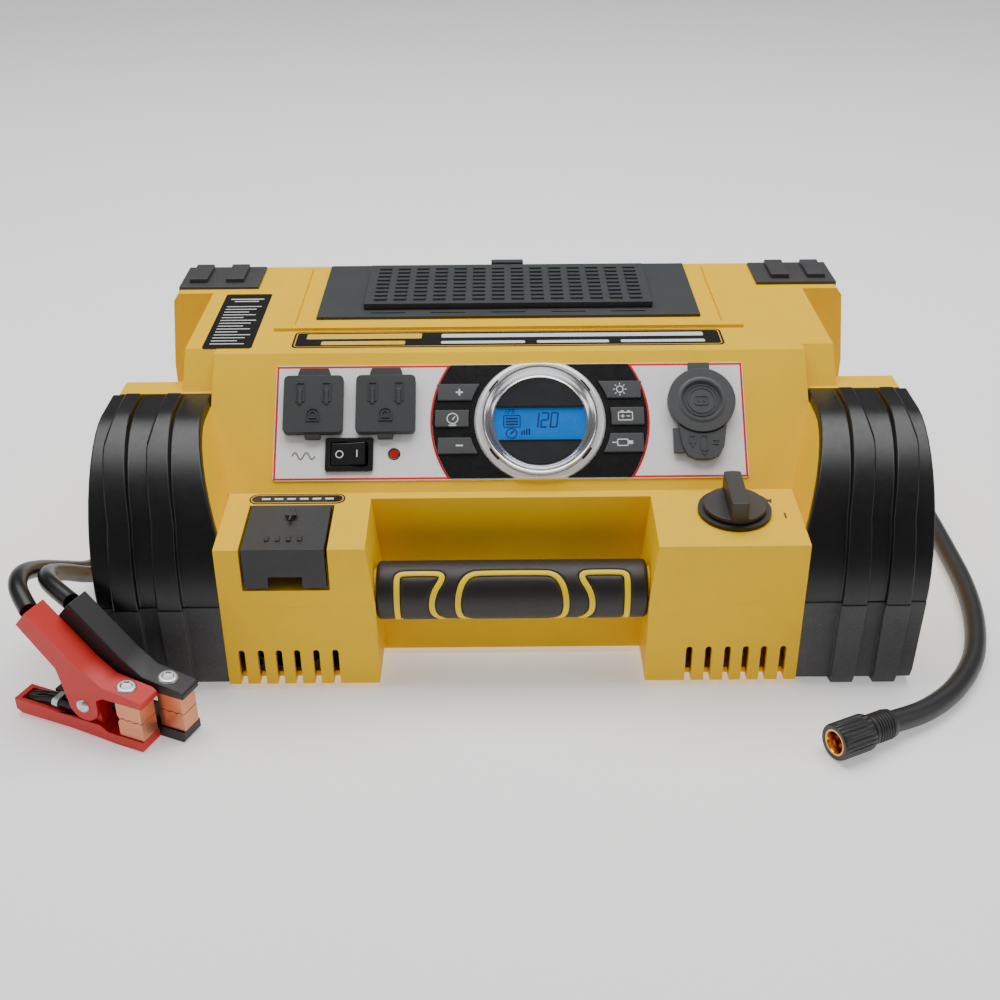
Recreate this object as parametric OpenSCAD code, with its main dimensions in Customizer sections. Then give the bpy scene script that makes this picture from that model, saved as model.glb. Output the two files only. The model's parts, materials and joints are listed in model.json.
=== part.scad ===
// Jump starter pack with inverter, air compressor and battery clamps.
// It lies on its back, with the carry handle to the front (-Y) and the controls on the front slope.
// Origin: on the floor, below the middle of the pack without its cords. +Z is up, units are millimetres.

/* [Body] */
// Width of the body between the fenders and the rear blocks
waist_w = 322; // [318:1:326]
// Width across the rear blocks
rear_w = 374; // [368:1:378]
// Depth from the front wall to the back wall
body_d = 224; // [222:1:228]
// Height of the flat top above the floor
body_h = 130; // [129:0.5:132]
// Height of the joint between the two housing halves
split_z = 46.5; // [45:0.5:49]
// Thickness of the housing walls
wall = 3; // [2.6:0.1:3.2]

/* [Front] */
// Width of the front wall and its ledge
ledge_w = 268.6; // [267:0.2:269]
// Height of the ledge at the front wall
ledge_z = 77.3; // [76.5:0.1:78]
// Height of the crease between the ledge and the control slope
crease_z = 80; // [79.5:0.1:80.5]
// Depth of the ledge
crease_y = 47.4; // [47:0.1:48]
// Angle of the control slope above the horizontal
slope = 44.1; // [43.5:0.1:44.5]

/* [Handle] */
// Width of the notch that the handle crosses
notch_w = 125.6; // [120:0.2:128]
// Diameter of the rubber grip
grip_d = 28; // [26:0.5:29]

/* [Fenders] */
// Height of the fenders
fender_h = 114; // [112:0.5:115]
// Depth of the fenders
fender_d = 102; // [100:0.5:103]
// Thickness of the bumpers
bumper_t = 3.5; // [3:0.1:4]

/* [Controls] */
// Width of the control label
label_w = 228; // [226:0.5:230]
// Height of the control label up the slope
label_h = 59; // [58:0.5:60]
// Travel of a push button
button_travel = 1; // [0.6:0.1:1.2]
// Inner diameter of the 12 V socket
socket_d = 21; // [20.8:0.1:21.4]

/* [Cords] */
// Outer diameter of the clamp cables
cable_d = 8.5; // [8:0.25:9]
// Outer diameter of the air hose
hose_d = 10.4; // [9.6:0.2:10.6]

/* [Hidden] */

$fn = 48;
mid_y = 112.5;                        // middle of the depth, from the ribs of the bumpers to the feet
floor_gap = 3;                        // underside of the housing above the floor
ledge_x = ledge_w / 2;
slope_x = 145.4;                      // half width of the control slope
plateau_y = crease_y + (body_h - crease_z) / tan(slope);
label_y = 72.8;                       // middle of the control label
label_z = crease_z + (label_y - crease_y) * tan(slope);
shoulder_y = 88;                      // front of the body beside the control slope
rear_y = 183;                         // front of the rear blocks
notch_x = notch_w / 2;
grip_y = 14;
grip_z = split_z;
core_d = 20;                          // handle core inside the grip
bumper_y = 88;                        // rear edge of the bumpers on top of the fenders
arch_y = 65;                          // where the fender's front curve starts
arch_z = 46;                          // and where it ends
arch_power = 1.75;
ledge_tilt = atan((crease_z - ledge_z) / crease_y);
yellow = [0.96, 0.76, 0.08];
rubber = [0.1, 0.1, 0.1];
grey = [0.33, 0.34, 0.35];
copper = [0.85, 0.55, 0.4];
red = [0.88, 0.25, 0.18];
charcoal = [0.22, 0.22, 0.22];
steel = [0.75, 0.75, 0.77];
board = [0.1, 0.35, 0.2];

// ---- placing ---------------------------------------------------------------------------------

// The drawing's Y runs from the front wall, so every sub-part is moved back to the middle.
module placed() translate([0, -mid_y, 0]) children();

// A (y, z) outline drawn along X from x0 to x1
module prism(points, x0, x1)
    translate([x0, 0, 0]) rotate([90, 0, 90]) linear_extrude(x1 - x0) polygon(points);

// An (x, z) outline drawn along Y from y0 to y1
module slab(points, y0, y1)
    translate([0, y1, 0]) rotate([90, 0, 0]) linear_extrude(y1 - y0) polygon(points);

module block(low, high) translate(low) cube(high - low);

// Local frame of the control slope: X along the pack, Y up the slope, Z out of it
module on_slope(x = 0, t = 0, n = 0)
    translate([x, label_y, label_z]) rotate([slope, 0, 0]) translate([0, t, n]) children();

module on_ledge(x, y, n = 0)
    translate([x, y, ledge_z + y * tan(ledge_tilt)]) rotate([ledge_tilt, 0, 0])
        translate([0, 0, n]) children();

module pair() {
    children();
    mirror([1, 0, 0]) children();
}

module rounded(w, h, r, t) linear_extrude(t) rounded_outline(w, h, r);

module rounded_outline(w, h, r)
    polygon([for (c = [[1, 1, 0], [-1, 1, 90], [-1, -1, 180], [1, -1, 270]], a = [0:22.5:90])
        [c[0] * (w / 2 - r) + r * cos(c[2] + a), c[1] * (h / 2 - r) + r * sin(c[2] + a)]]);

// ---- housing ---------------------------------------------------------------------------------

// Side outline of the middle of the body, i inside its outer face
function body_outline(i) = [
    [i, floor_gap + i], [i, ledge_z - i], [crease_y + 0.4 * i, crease_z - i],
    [plateau_y + 0.4 * i, body_h - i], [body_d - 4 - i, body_h - i], [body_d - i, body_h - 4 - i],
    [body_d - i, floor_gap + i]];

function shoulder_outline(i) = [
    [shoulder_y + i, floor_gap + i], [shoulder_y + i, fender_h - 2 - i],
    [shoulder_y + 18 + 0.4 * i, body_h - i], [body_d - 4 - i, body_h - i],
    [body_d - i, body_h - 4 - i], [body_d - i, floor_gap + i]];

function rear_outline(i) = let (w = rear_w / 2)
    [[w - i, floor_gap + i], [w - i, 88], [w - 4 - i, body_h - 4], [w - 7 - i, body_h - i],
     [i + 7 - w, body_h - i], [i + 4 - w, body_h - 4], [i - w, 88], [i - w, floor_gap + i]];

// Front curve of a fender, i inside the bumper's smooth face, from its foot to its top
function arch(i) = [for (a = [0:7.5:90])
    [arch_y - (arch_y - i) * pow(cos(a), 2 / arch_power),
     arch_z + (fender_h - arch_z - i) * pow(sin(a), 2 / arch_power)]];

function fender_outline(i, top) = concat(
    [[i, floor_gap + top]], arch(i),
    [[bumper_y, fender_h - i], [bumper_y, fender_h - top], [fender_d - top, fender_h - top],
     [fender_d - top, floor_gap + top]]);

// Cross-section of a fender in (x, z), grown by g on its outer side and i inside elsewhere
function fender_section(i, g) = [
    [ledge_x + i, floor_gap - g - 3], [ledge_x + i, ledge_z + 1], [147 + i, fender_h + 1],
    [191.5 + g, fender_h + 1], [187 + g, split_z], [185.3 + g, floor_gap - g - 3]];

// Bay behind the grip, wider at its top, g outside its walls
module notch(g) intersection() {
    prism([[-9, -9], [27.5 + g, -9], [28 + g, floor_gap], [40.5 + g, split_z],
           [42.5 + g, crease_z + 9], [-9, crease_z + 9]], -notch_x - 9, notch_x + 9);
    pair() slab([[-1, -9], [notch_x + g, -9], [notch_x + g, split_z],
                 [notch_x + 4.5 + g, crease_z + 9], [-1, crease_z + 9]], -9, 60);
}

module body_shape(i) {
    prism(body_outline(i), -ledge_x + i, ledge_x - i);
    intersection() {
        prism(body_outline(i), -slope_x + i, slope_x - i);
        block([-160, crease_y, 0], [160, body_d + 1, 140]);
    }
    prism(shoulder_outline(i), -waist_w / 2 + i, waist_w / 2 - i);
    slab(rear_outline(i), rear_y + i, body_d - i);
    pair() intersection() {
        prism(fender_outline(bumper_t + i, i), 130, 200);
        slab(fender_section(i, -i), -1, fender_d + 1);
    }
}

// Pockets sunk into the housing, g outside their inner faces
module charger_pocket(g)
    block([-123 - g, -9, 55.6 - g], [-83 + g, 37 + g, 99]);

module accessory_pocket(g)
    block([-68 - g, 158 - g, 106 - g], [68 + g, 206 + g, 140]);

module light_pocket(g)
    block([-30 - g, 60 - g, -1], [30 + g, 82 + g, floor_gap + 5 + g]);

module slope_openings() {
    for (x = [-95.1, -60.1]) on_slope(x, 8.1, -9) rounded(25, 26, 2, 20);
    on_slope(-77.4, -16.7, -9) rounded(21, 14.6, 1, 20);
    on_slope(-55.9, -16.3, -9) cylinder(d = 4.2, h = 20);
    on_slope(92.6, 8.3, -9) cylinder(d = socket_d + 7.2, h = 20);
    on_slope(92.5, -12.6, -9) rounded(15.4, 8, 1, 20);
    on_slope(14.5, 0, -9) cylinder(d = 46.4, h = 20);
    for (b = BUTTONS) on_slope(0, 0, -9) linear_extrude(20) button_outline(b, 0.4);
}

module vents()
    for (s = [-1, 1], x = [83, 92, 101, 109.5, 118, 127]) {
        block([s * x - 1.55, -9, -1], [s * x + 1.55, wall + 3, 20.8]);
        translate([s * x, wall + 3, 20.8]) rotate([90, 0, 0]) cylinder(d = 3.1, h = wall + 12);
    }

screw_spots = [[-124, 30], [124, 30], [-124, 214], [124, 214], [-48, 60], [76, 60], [0, 214]];

module housing_body() {
    difference() {
        body_shape(0);
        difference() {
            body_shape(wall);
            notch(wall);
            charger_pocket(wall);
            accessory_pocket(wall);
            light_pocket(wall);
            for (p = screw_spots) translate([p[0], p[1], 0]) cylinder(d = 9, h = body_h + 9);
        }
        notch(0);
        charger_pocket(0);
        accessory_pocket(0);
        light_pocket(0);
        slope_openings();
        vents();
        on_ledge(103.8, 28.2, -wall - 3) cylinder(d = 26.4, h = 20);
        for (p = screw_spots) translate([p[0], p[1], -1]) cylinder(d = 3.4, h = 55);
        for (p = screw_spots) translate([p[0], p[1], -1]) cylinder(d = 7.2, h = 9);
        for (x = [red_exit_x, black_exit_x, hose_exit_x]) translate([x, body_d, gland_z])
            rotate([90, 0, 0]) cylinder(d = 16.4, h = 24, center = true);
        pair() foot_shape(0.02);
    }
    handle_core();
    plateau_frame();
}

module handle_core()
    translate([0, grip_y, grip_z]) rotate([0, 90, 0])
        cylinder(d = core_d, h = notch_w + 2, center = true);

// Raised band round the grey top plate
module plateau_frame() {
    pair() block([110, 128, body_h - 1], [120, body_d - 6, body_h + 1.6]);
    block([-120, 128, body_h - 1], [120, 133, body_h + 1.6]);
}

module upper_housing() color(yellow) intersection() {
    housing_body();
    block([-220, -20, split_z], [220, 260, 160]);
}

module lower_housing() color(yellow) intersection() {
    housing_body();
    block([-220, -20, -20], [220, 260, split_z]);
}

// ---- bumpers and feet --------------------------------------------------------------------------

// Band that follows the fender from a inside the smooth face to b inside it, ending at y_end on top
function bumper_band(a, b, y_end, y_foot) = let (z = a < 0 ? 0 : a + 1.2) concat(
    [[y_foot, z], [6, z], [1.5 + a, z + 2], [a, z + 7]],
    arch(a), [[y_end, fender_h - a], [y_end, fender_h - b]],
    [for (k = [len(arch(b)) - 1:-1:0]) arch(b)[k]], [[b, floor_gap], [y_foot, floor_gap]]);

module bumper_rib(bottom, middle, top, w)
    slab([[bottom, -1], [bottom + w, -1], [middle + w, 84], [top + w, fender_h - 5],
          [top + w - 2, fender_h + 5], [top + 2, fender_h + 5], [top, fender_h - 5],
          [middle, 84], [bottom, 40]], -9, 84);

module bumper() {
    intersection() {
        prism(bumper_band(0, bumper_t, bumper_y - 0.2, 30), 130, 200);
        slab(fender_section(0, bumper_t), -9, 120);
    }
    intersection() {
        prism(bumper_band(0, 26, bumper_y - 0.2, 30), 180, 200);
        difference() {
            slab(fender_section(0, bumper_t), -9, 120);
            slab(fender_section(-20, 0), -10, 121);
        }
    }
    intersection() {
        prism(bumper_band(-3, 1, 83, 26), 130, 200);
        union() {
            bumper_rib(150.5, 153, 158, 10.5);
            bumper_rib(170.5, 173, 178, 10.5);
        }
    }
}

module above_split() block([-220, -20, split_z], [220, 260, 160]);

module below_split() block([-220, -20, -1], [220, 260, split_z]);

module bumper_upper_right() color(rubber) intersection() {
    bumper();
    above_split();
}

module bumper_upper_left() mirror([1, 0, 0]) bumper_upper_right();

module bumper_lower_right() color(charcoal) intersection() {
    bumper();
    below_split();
}

module bumper_lower_left() mirror([1, 0, 0]) bumper_lower_right();

// Rear foot: wraps round the back of a rear block, its ends moved out by g
module foot_shape(g)
    prism([[189, body_h + 1.5], [189, body_h - 1.5], [body_d - 2, body_h - 1.5],
           [body_d - 2, floor_gap + 1.5], [189, floor_gap + 1.5], [189, 0], [body_d + 1, 0],
           [body_d + 1, body_h - 2.5], [body_d - 3, body_h + 1.5]], 137 - g, 181 + g);

module rear_foot_right() color(grey) {
    foot_shape(0);
    for (x = [146, 166]) {
        block([x, 195, body_h], [x + 10, body_d - 5, body_h + 4]);
        block([x, body_d - 1, 20], [x + 10, body_d + 4, body_h - 8]);
    }
}

module rear_foot_left() mirror([1, 0, 0]) rear_foot_right();

// ---- handle and top ----------------------------------------------------------------------------

module handle_grip() color(rubber)
    translate([0, grip_y, grip_z]) rotate([0, 90, 0]) difference() {
        cylinder(d = grip_d, h = notch_w - 0.4, center = true);
        cylinder(d = core_d + 0.04, h = notch_w + 2, center = true);
    }

module top_plate() color(grey) difference() {
    block([-100, 142.8, body_h], [100, 221, body_h + 1.6]);
    block([-72, 155, body_h - 1], [72, 210, body_h + 3]);
    for (k = [-2:2]) block([k * 31.5 - 9, 147.6, body_h - 1], [k * 31.5 + 9, 149, body_h + 3]);
    block([-12, 214, body_h - 1], [12, 219.5, body_h + 3]);
}

module accessory_lid() color(grey) {
    block([-76, 152.5, body_h + 1.9], [76, 212, body_h + 5]);
    for (c = [0:13], r = [0:8])
        block([-70.9 + c * 10.4, 156.5 + r * 5.8, body_h + 4.9],
              [-64.3 + c * 10.4, 159.3 + r * 5.8, body_h + 6.2]);
    difference() {
        block([-66, 160, body_h - 4], [66, 204, body_h + 2]);
        block([-64, 162, body_h - 5], [64, 202, body_h + 1.9]);
    }
}

module lid_latch() color(grey) {
    block([-9, 212.3, body_h + 1.9], [9, 217.5, body_h + 6]);
    block([-7, 215, body_h + 0.1], [7, 217.5, body_h + 2]);
}

// ---- control slope -----------------------------------------------------------------------------

dial_x = 14.5;                        // centre of the display
dial_zone_r = 52.7;                   // edge of the black zone round it
label_t = 0.8;
keypad_t = 0.7;

// Each button: name, low and high x at the outer end, low and high t, and the side it is on
BUTTONS = [
    ["plus", -35.1, -13.6, 10.3, 18.9], ["compressor", -36.4, -19.1, -3.3, 5.4],
    ["minus", -35, -13.6, -17, -8.7], ["light", 43.3, 63.8, 10.9, 19.8],
    ["battery", 48, 65, -2.9, 6.2], ["usb", 43.9, 64.3, -16.8, -7.1]];

// Outline of button b grown by g: its end towards the display is cut to a circle round the display
module button_outline(b, g) {
    r = 34.5 - g;
    left = b[1] < dial_x;
    t0 = b[3] - g;
    t1 = b[4] + g;
    side = left ? -1 : 1;
    outer = left ? b[1] - g : b[2] + g;
    inner = [for (k = [0:6]) let (t = t0 + (t1 - t0) * k / 6)
        [dial_x + side * sqrt(r * r - t * t), t]];
    polygon(concat([[outer, t1], [outer, t0]], inner));
}

module label_strip(h, n) on_slope(0, 0, n) rounded(label_w, label_h, 1.5, h);

module control_label() color("gainsboro") difference() {
    label_strip(label_t, 0);
    slope_openings();
    on_slope(dial_x, 0, -1) cylinder(d = 57, h = 4);
}

module keypad() color(charcoal) difference() {
    on_slope(0, 0, label_t) intersection() {
        translate([dial_x, 0, 0]) cylinder(r = dial_zone_r - 0.6, h = keypad_t);
        translate([dial_x, 0, -1]) linear_extrude(4) square([200, label_h - 1], center = true);
    }
    on_slope(dial_x, 0, 0) cylinder(r = 31.8, h = 4);
    for (b = BUTTONS) on_slope(0, 0, 0) linear_extrude(4) button_outline(b, 0.3);
}

module button(k) color("gray") on_slope(0, 0, -wall) linear_extrude(wall + 2.6)
    button_outline(BUTTONS[k], 0);

module button_plus() button(0);
module button_compressor() button(1);
module button_minus() button(2);
module button_light() button(3);
module button_battery() button(4);
module button_usb() button(5);

module lcd_bezel() color("silver") intersection() {
    on_slope(dial_x, 0, 0) rotate_extrude($fn = 96)
        polygon([[22.4, -wall], [23, -wall], [23, 0], [28, 0], [28, label_t + 0.02],
                 [31.6, label_t + 0.02], [31.6, 1.8], [30.6, 2.4], [28.6, 2.6], [27.6, 4.4],
                 [26.6, 4.4], [23.6, 1.2], [22.4, 0.6]]);
    on_slope(0, 0, -5) linear_extrude(20) square([200, label_h], center = true);
}

module lcd_module() color([0.1, 0.5, 0.85]) on_slope(dial_x, 0, 0) {
    translate([0, 0, -8]) cylinder(d = 44.6, h = 8.4);
}

module power_led() color("red") on_slope(-55.9, -16.3, -6) {
    cylinder(d = 4, h = 7.4);
    cylinder(d = 5.4, h = 2.6);
}

module ac_outlets() color(charcoal) difference() {
    union() {
        on_slope(-77.6, 8.1, -19) rounded(66, 27.4, 2, 15.8);
        for (x = [-95.1, -60.1]) on_slope(x, 8.1, -4) rounded(24.4, 25.4, 2, 5);
    }
    for (x = [-95.1, -60.1]) on_slope(x, 8.1, -14) {
        translate([-6.4 - 0.9, -1, 0]) cube([1.8, 7.6, 20]);
        translate([6.4 - 0.9, -0.2, 0]) cube([1.8, 6.4, 20]);
        translate([0, -6.6, 0]) cylinder(d = 4.8, h = 20);
    }
}

module outlet_cover(x) color(charcoal) {
    on_slope(x, 8.15, 1.3) rounded(28.9, 29.5, 2.4, 4);
    on_slope(x, 22.9, 1.3) intersection() {
        cylinder(r = 8, h = 2.6);
        translate([-8, -2, 0]) cube([16, 6.2, 4]);
    }
    on_slope(x, -7.9, 1.3) translate([-3.7, -1.3, 0]) cube([7.4, 3.4, 3.2]);
    for (s = [-6.4, 6.4]) on_slope(x + s, 11.6, 5.2) translate([-0.9, -3.8, 0]) cube([1.8, 7.6, 0.7]);
}

module outlet_cover_left() outlet_cover(-95.1);
module outlet_cover_right() outlet_cover(-60.1);

switch_x = -77.4;
switch_t = -16.7;

module inverter_switch() color("black") on_slope(switch_x, switch_t, 0) difference() {
    union() {
        translate([0, 0, label_t]) rounded(23.2, 17, 1.2, 1.8);
        translate([0, 0, -17]) rounded(20.6, 14.2, 0.8, 18.4);
    }
    translate([-9, -6.1, -7.4]) cube([18, 12.2, 20]);
}

// The rocker's two faces meet in a shallow valley above its pivot; its right end stands up at rest
module inverter_rocker() color("black") on_slope(switch_x, switch_t, 0)
    rotate([0, -8, 0]) rotate([90, 0, 0]) translate([0, 0, -5.7]) linear_extrude(11.4)
        polygon([[-8.3, 3.2], [0, 2.4], [8.3, 3.2], [8.1, -1], [3, -4.4], [-3, -4.4], [-8.1, -1]]);

module dc_socket() color(charcoal) on_slope(92.6, 8.3, 0) difference() {
    union() {
        translate([0, 0, -46]) cylinder(d = socket_d + 6, h = 47);
        translate([0, 0, label_t]) cylinder(d = 31, h = 1);
    }
    translate([0, 0, -43]) cylinder(d = socket_d, h = 60);
}

module dc_cap() color(grey) {
    on_slope(92.6, 8.3, 2.1) cylinder(d = 32.7, h = 2.6);
    on_slope(92.6, 8.3, 4.6) difference() {
        cylinder(d = 32.7, h = 1.4);
        translate([0, 0, 0.2]) cylinder(d = 19, h = 3);
    }
    on_slope(92.6, 8.3, -1.5) cylinder(d = 17, h = 3.7);
    on_slope(92.1, 24.8, 2.1) translate([-5.2, -4, 0]) cube([10.4, 7.4, 2.4]);
}

module usb_socket() color(steel) on_slope(92.5, -12.6, 0) difference() {
    union() {
        translate([0, 0, -14]) rounded(14.8, 7.4, 0.8, 15);
        translate([0, 0, -17]) rounded(19, 11, 1, 6);
    }
    translate([-6.1, -2.3, -10]) cube([12.2, 4.6, 20]);
}

module usb_cover() color(grey) difference() {
    union() {
        on_slope(0, 0, 2.1) linear_extrude(3)
            polygon([[80.4, -1], [104.6, -1], [102.4, -15], [100, -19.4], [96, -21.3],
                     [89, -21.3], [85, -19.4], [82.6, -15]]);
        on_slope(0, 0, 2.1) linear_extrude(2.2)
            polygon([[78.3, -5.6], [82, -5.6], [84, -17.8], [78.3, -17.8]]);
    }
    on_slope(92.6, 8.3, -5) cylinder(d = 33.6, h = 20);
}

// ---- ledge controls ----------------------------------------------------------------------------

module battery_switch() color(charcoal) on_ledge(103.8, 28.2, 0) difference() {
    union() {
        translate([0, 0, -26]) cylinder(d = 26, h = 27);
        cylinder(d = 34, h = 2);
    }
    translate([0, 0, -20]) cylinder(d = 8.1, h = 40);
}

module battery_knob() color(charcoal) on_ledge(103.8, 28.2, 0) {
    translate([0, 0, -14]) cylinder(d = 8, h = 18);
    translate([0, 0, 2.3]) cylinder(d = 29, h = 2.4);
    translate([0, 0, 4.6]) intersection() {
        cylinder(d = 29, h = 9);
        translate([-4, -15, 0]) cube([8, 30, 9]);
    }
}

module charger_inlet() color(charcoal) {
    block([-118, 26, 55.6], [-88, 37, 74]);
    color("goldenrod") for (x = [-109.4, -96.6]) block([x - 0.8, 10, 65], [x + 0.8, 27, 71.3]);
    color("goldenrod") translate([-103, 27, 60.6]) rotate([90, 0, 0]) cylinder(d = 4.7, h = 18);
}

module charger_cover() color("black") {
    difference() {
        prism([[-0.4, 57], [-0.4, ledge_z + 0.4], [36, ledge_z + 2.6], [36, ledge_z - 0.6],
               [2.6, ledge_z - 3.2], [2.6, 57]], -121.8, -84.3);
        block([-110.8, -3, 50], [-95.3, 5, 63]);
    }
    for (k = [0:3]) block([-112 + k * 5, 6, ledge_z + 0.4], [-110 + k * 5, 10, ledge_z + 1.6]);
}

// ---- inside ------------------------------------------------------------------------------------

module battery() color([0.2, 0.2, 0.22]) {
    block([-75.5, 100, floor_gap + wall], [75.5, 198, 95]);
    block([-75.5, 101, 95], [75.5, 197, 100]);
    color(steel) for (x = [-66, 66]) block([x - 3, 112, 100], [x + 3, 116, 107]);
}

module inverter_board() color(board) {
    block([-155, 110, 12], [-84, 205, 13.6]);
    color(steel) for (k = [0:6]) block([-150, 168 + k * 5, 13.6], [-96, 170 + k * 5, 36]);
    color(steel) block([-150, 166, 13.6], [-96, 202, 17]);
    for (p = [[-150, 114], [-90, 114], [-150, 200], [-90, 200]])
        translate([p[0], p[1], 6]) cylinder(d = 6, h = 6.1);
}

module transformer() color([0.55, 0.4, 0.2]) {
    block([-146, 120, 13.6], [-104, 158, 17]);
    block([-138, 124, 17], [-112, 154, 44]);
    color([0.8, 0.5, 0.25]) block([-142, 129, 19], [-108, 149, 42]);
}

module charger_board() color(board) {
    block([-150, 50, 12], [-96, 96, 13.6]);
    color("black") block([-140, 58, 13.6], [-118, 78, 30]);
    color(steel) for (y = [60, 72, 84]) translate([-106, y, 13.6]) cylinder(d = 8, h = 14);
    for (p = [[-146, 54], [-100, 54], [-146, 92], [-100, 92]])
        translate([p[0], p[1], 6]) cylinder(d = 6, h = 6.1);
}

module control_board() color(board) {
    on_slope(dial_x, 0, -13) translate([-56, -26, 0]) cube([112, 52, 1.6]);
    for (b = BUTTONS) on_slope((b[1] + b[2]) / 2, (b[3] + b[4]) / 2, -11.5)
        cylinder(d = 4, h = 11.5 - wall - button_travel - 0.2);
}

fan_x = -105;
fan_z = 26.5;
pump_x = 128;                         // middle of the compressor and its motor

module cooling_fan() color("black") translate([fan_x, 12, fan_z]) rotate([90, 0, 0]) {
    difference() {
        translate([-20, -20, -5]) cube([40, 40, 10]);
        translate([0, 0, -6]) cylinder(d = 38, h = 12);
        for (s = [-16, 16], t = [-16, 16]) translate([s, t, -6]) cylinder(d = 4.3, h = 12);
    }
    translate([0, 0, -5]) cylinder(d = 21, h = 1.4);
    for (a = [45:90:315]) rotate([0, 0, a]) translate([10, -1, -5]) cube([10, 2, 1.4]);
}

module fan_rotor() color(charcoal) translate([fan_x, 12, fan_z]) rotate([90, 0, 0]) {
    translate([0, 0, -3]) cylinder(d = 20, h = 7.6);
    for (k = [0:6]) rotate([0, 0, k * 360 / 7]) translate([9, -0.8, -1.6]) rotate([32, 0, 0])
        translate([0, -0.5, -1]) cube([8.6, 1, 6]);
}

module compressor() color(steel) {
    block([pump_x - 20, 112, 22], [pump_x + 20, 140, 62]);
    translate([pump_x, 126, 61]) cylinder(d = 30, h = 28);
    for (z = [66:5:86]) translate([pump_x, 126, z]) cylinder(d = 38, h = 2);
    block([pump_x - 16, 112, 88.9], [pump_x + 16, 140, 96]);
    block([pump_x - 24, 116, floor_gap + wall], [pump_x + 24, 136, 22.1]);
}

module compressor_motor() color([0.6, 0.6, 0.62]) {
    translate([pump_x, 203, 42]) rotate([90, 0, 0]) cylinder(d = 37, h = 62.8);
    translate([pump_x, 208, 42]) rotate([90, 0, 0]) cylinder(d = 13, h = 6);
    block([pump_x - 12, 150, floor_gap + wall], [pump_x + 12, 190, 25]);
}

module housing_screws() color(steel)
    for (p = screw_spots) translate([p[0], p[1], 4]) {
        cylinder(d = 6.8, h = 3.9);
        cylinder(d = 3.4, h = 40);
    }

module area_light() color("white") {
    block([-29.6, 60.4, floor_gap + 1], [29.6, 81.6, floor_gap + 2.6]);
    for (x = [-20:10:20]) translate([x, 71, floor_gap + 2.5]) cylinder(d = 5, h = 2.5);
}

// ---- cords -------------------------------------------------------------------------------------

gland_z = 22;
gland_l = 12;
red_exit_x = -35;
black_exit_x = -60;
hose_exit_x = 110;

// Routes: points from the gland to the far end
route_red = [[-35, 236, 22], [-35, 257, 21.5], [-43, 281, 16], [-64, 296, 10], [-95, 300, 6],
             [-150, 298, 5], [-189, 286, 5], [-211, 259, 5], [-218, 222, 5], [-218, 175, 5],
             [-217, 137, 5], [-218, 108, 7], [-221, 82, 17], [-225, 58, 32], [-228, 36, 46],
             [-227.5, 14, 57], [-223, -4, 61], [-214.7, -17.2, 57.5]];
route_black = [[-60, 236, 22], [-60, 252, 21.5], [-69, 272, 17], [-90, 284, 11], [-118, 287, 6.5],
               [-150, 284, 5], [-180, 272, 5], [-199, 249, 5], [-205, 215, 5], [-205, 175, 5],
               [-205, 135, 5], [-206, 108, 6], [-210, 84, 13], [-215, 62, 26], [-218, 42, 40],
               [-218, 22, 52], [-211, 3, 59], [-197.7, -10.4, 57.5]];
route_hose = [[110, 236, 22], [110, 258, 21.5], [119, 282, 17.5], [141, 297, 12], [168, 298, 6.8],
              [202, 286, 5.6], [226, 261, 5.6], [235, 228, 5.6], [237, 190, 5.6], [238, 150, 5.6],
              [238, 110, 5.6], [237, 75, 5.6], [232, 42, 5.6], [222, 12, 5.6], [206, -12, 5.6],
              [188, -28, 6], [169, -38.5, 7.6]];
chuck_way = [-29, -15, 1];            // the way that the end of the hose points

function blend(p, q, r, s, u) =
    0.5 * (2 * q + (r - p) * u + (2 * p - 5 * q + 4 * r - s) * u * u
           + (3 * q - p - 3 * r + s) * u * u * u);

function smooth(route, steps) = let (n = len(route)) concat(
    [for (k = [0:n - 2], j = [0:steps - 1])
        blend(route[max(k - 1, 0)], route[k], route[k + 1], route[min(k + 2, n - 1)], j / steps)],
    [route[n - 1]]);

function unit(v) = v / norm(v);

// Ring of points round p, square to the direction d
function ring(p, d, r, sides) = let (a = unit(cross(d, [0, 0, 1])), b = cross(a, d))
    [for (k = [0:sides - 1]) p + r * (a * cos(k * 360 / sides) + b * sin(k * 360 / sides))];

module cord(route, d, sides, steps) {
    path = smooth(route, steps);
    n = len(path);
    rings = [for (k = [0:n - 1])
        ring(path[k], unit(path[min(k + 1, n - 1)] - path[max(k - 1, 0)]), d / 2, sides)];
    polyhedron(
        points = [for (r = rings, p = r) p],
        faces = concat(
            [[for (k = [0:sides - 1]) k]],
            [for (j = [0:n - 2], k = [0:sides - 1]) let (a = j * sides, c = (k + 1) % sides)
                [a + k, a + sides + k, a + sides + c, a + c]],
            [[for (k = [sides - 1:-1:0]) (n - 1) * sides + k]]));
}

module gland(x)
    translate([x, body_d, gland_z]) rotate([-90, 0, 0]) difference() {
        union() {
            translate([0, 0, -8]) cylinder(d = 16, h = 8);
            cylinder(d1 = 15, d2 = 11, h = gland_l);
        }
        translate([0, 0, -9]) cylinder(d = 7, h = 18);
    }

module cable_gland() color("black") {
    gland(red_exit_x);
    gland(black_exit_x);
}

module hose_gland() color("black") gland(hose_exit_x);

module cable_red() color(rubber) cord(route_red, cable_d, 10, 1);

module cable_black() color(rubber) cord(route_black, cable_d, 10, 1);

module air_hose() color(rubber) cord(route_hose, hose_d, 10, 1);

// Screw-on chuck at the end of the hose
module air_chuck() color("black") translate(route_hose[len(route_hose) - 1])
    rotate([0, 0, atan2(chuck_way[1], chuck_way[0])])
        rotate([0, 90 - asin(chuck_way[2] / norm(chuck_way)), 0]) {
            cylinder(d = 14, h = 14.5);
            translate([0, 0, 14.4]) difference() {
                cylinder(d = 17, h = 18);
                translate([0, 0, 5]) cylinder(d = 9.6, h = 20);
            }
        }

// ---- battery clamps ----------------------------------------------------------------------------

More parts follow.
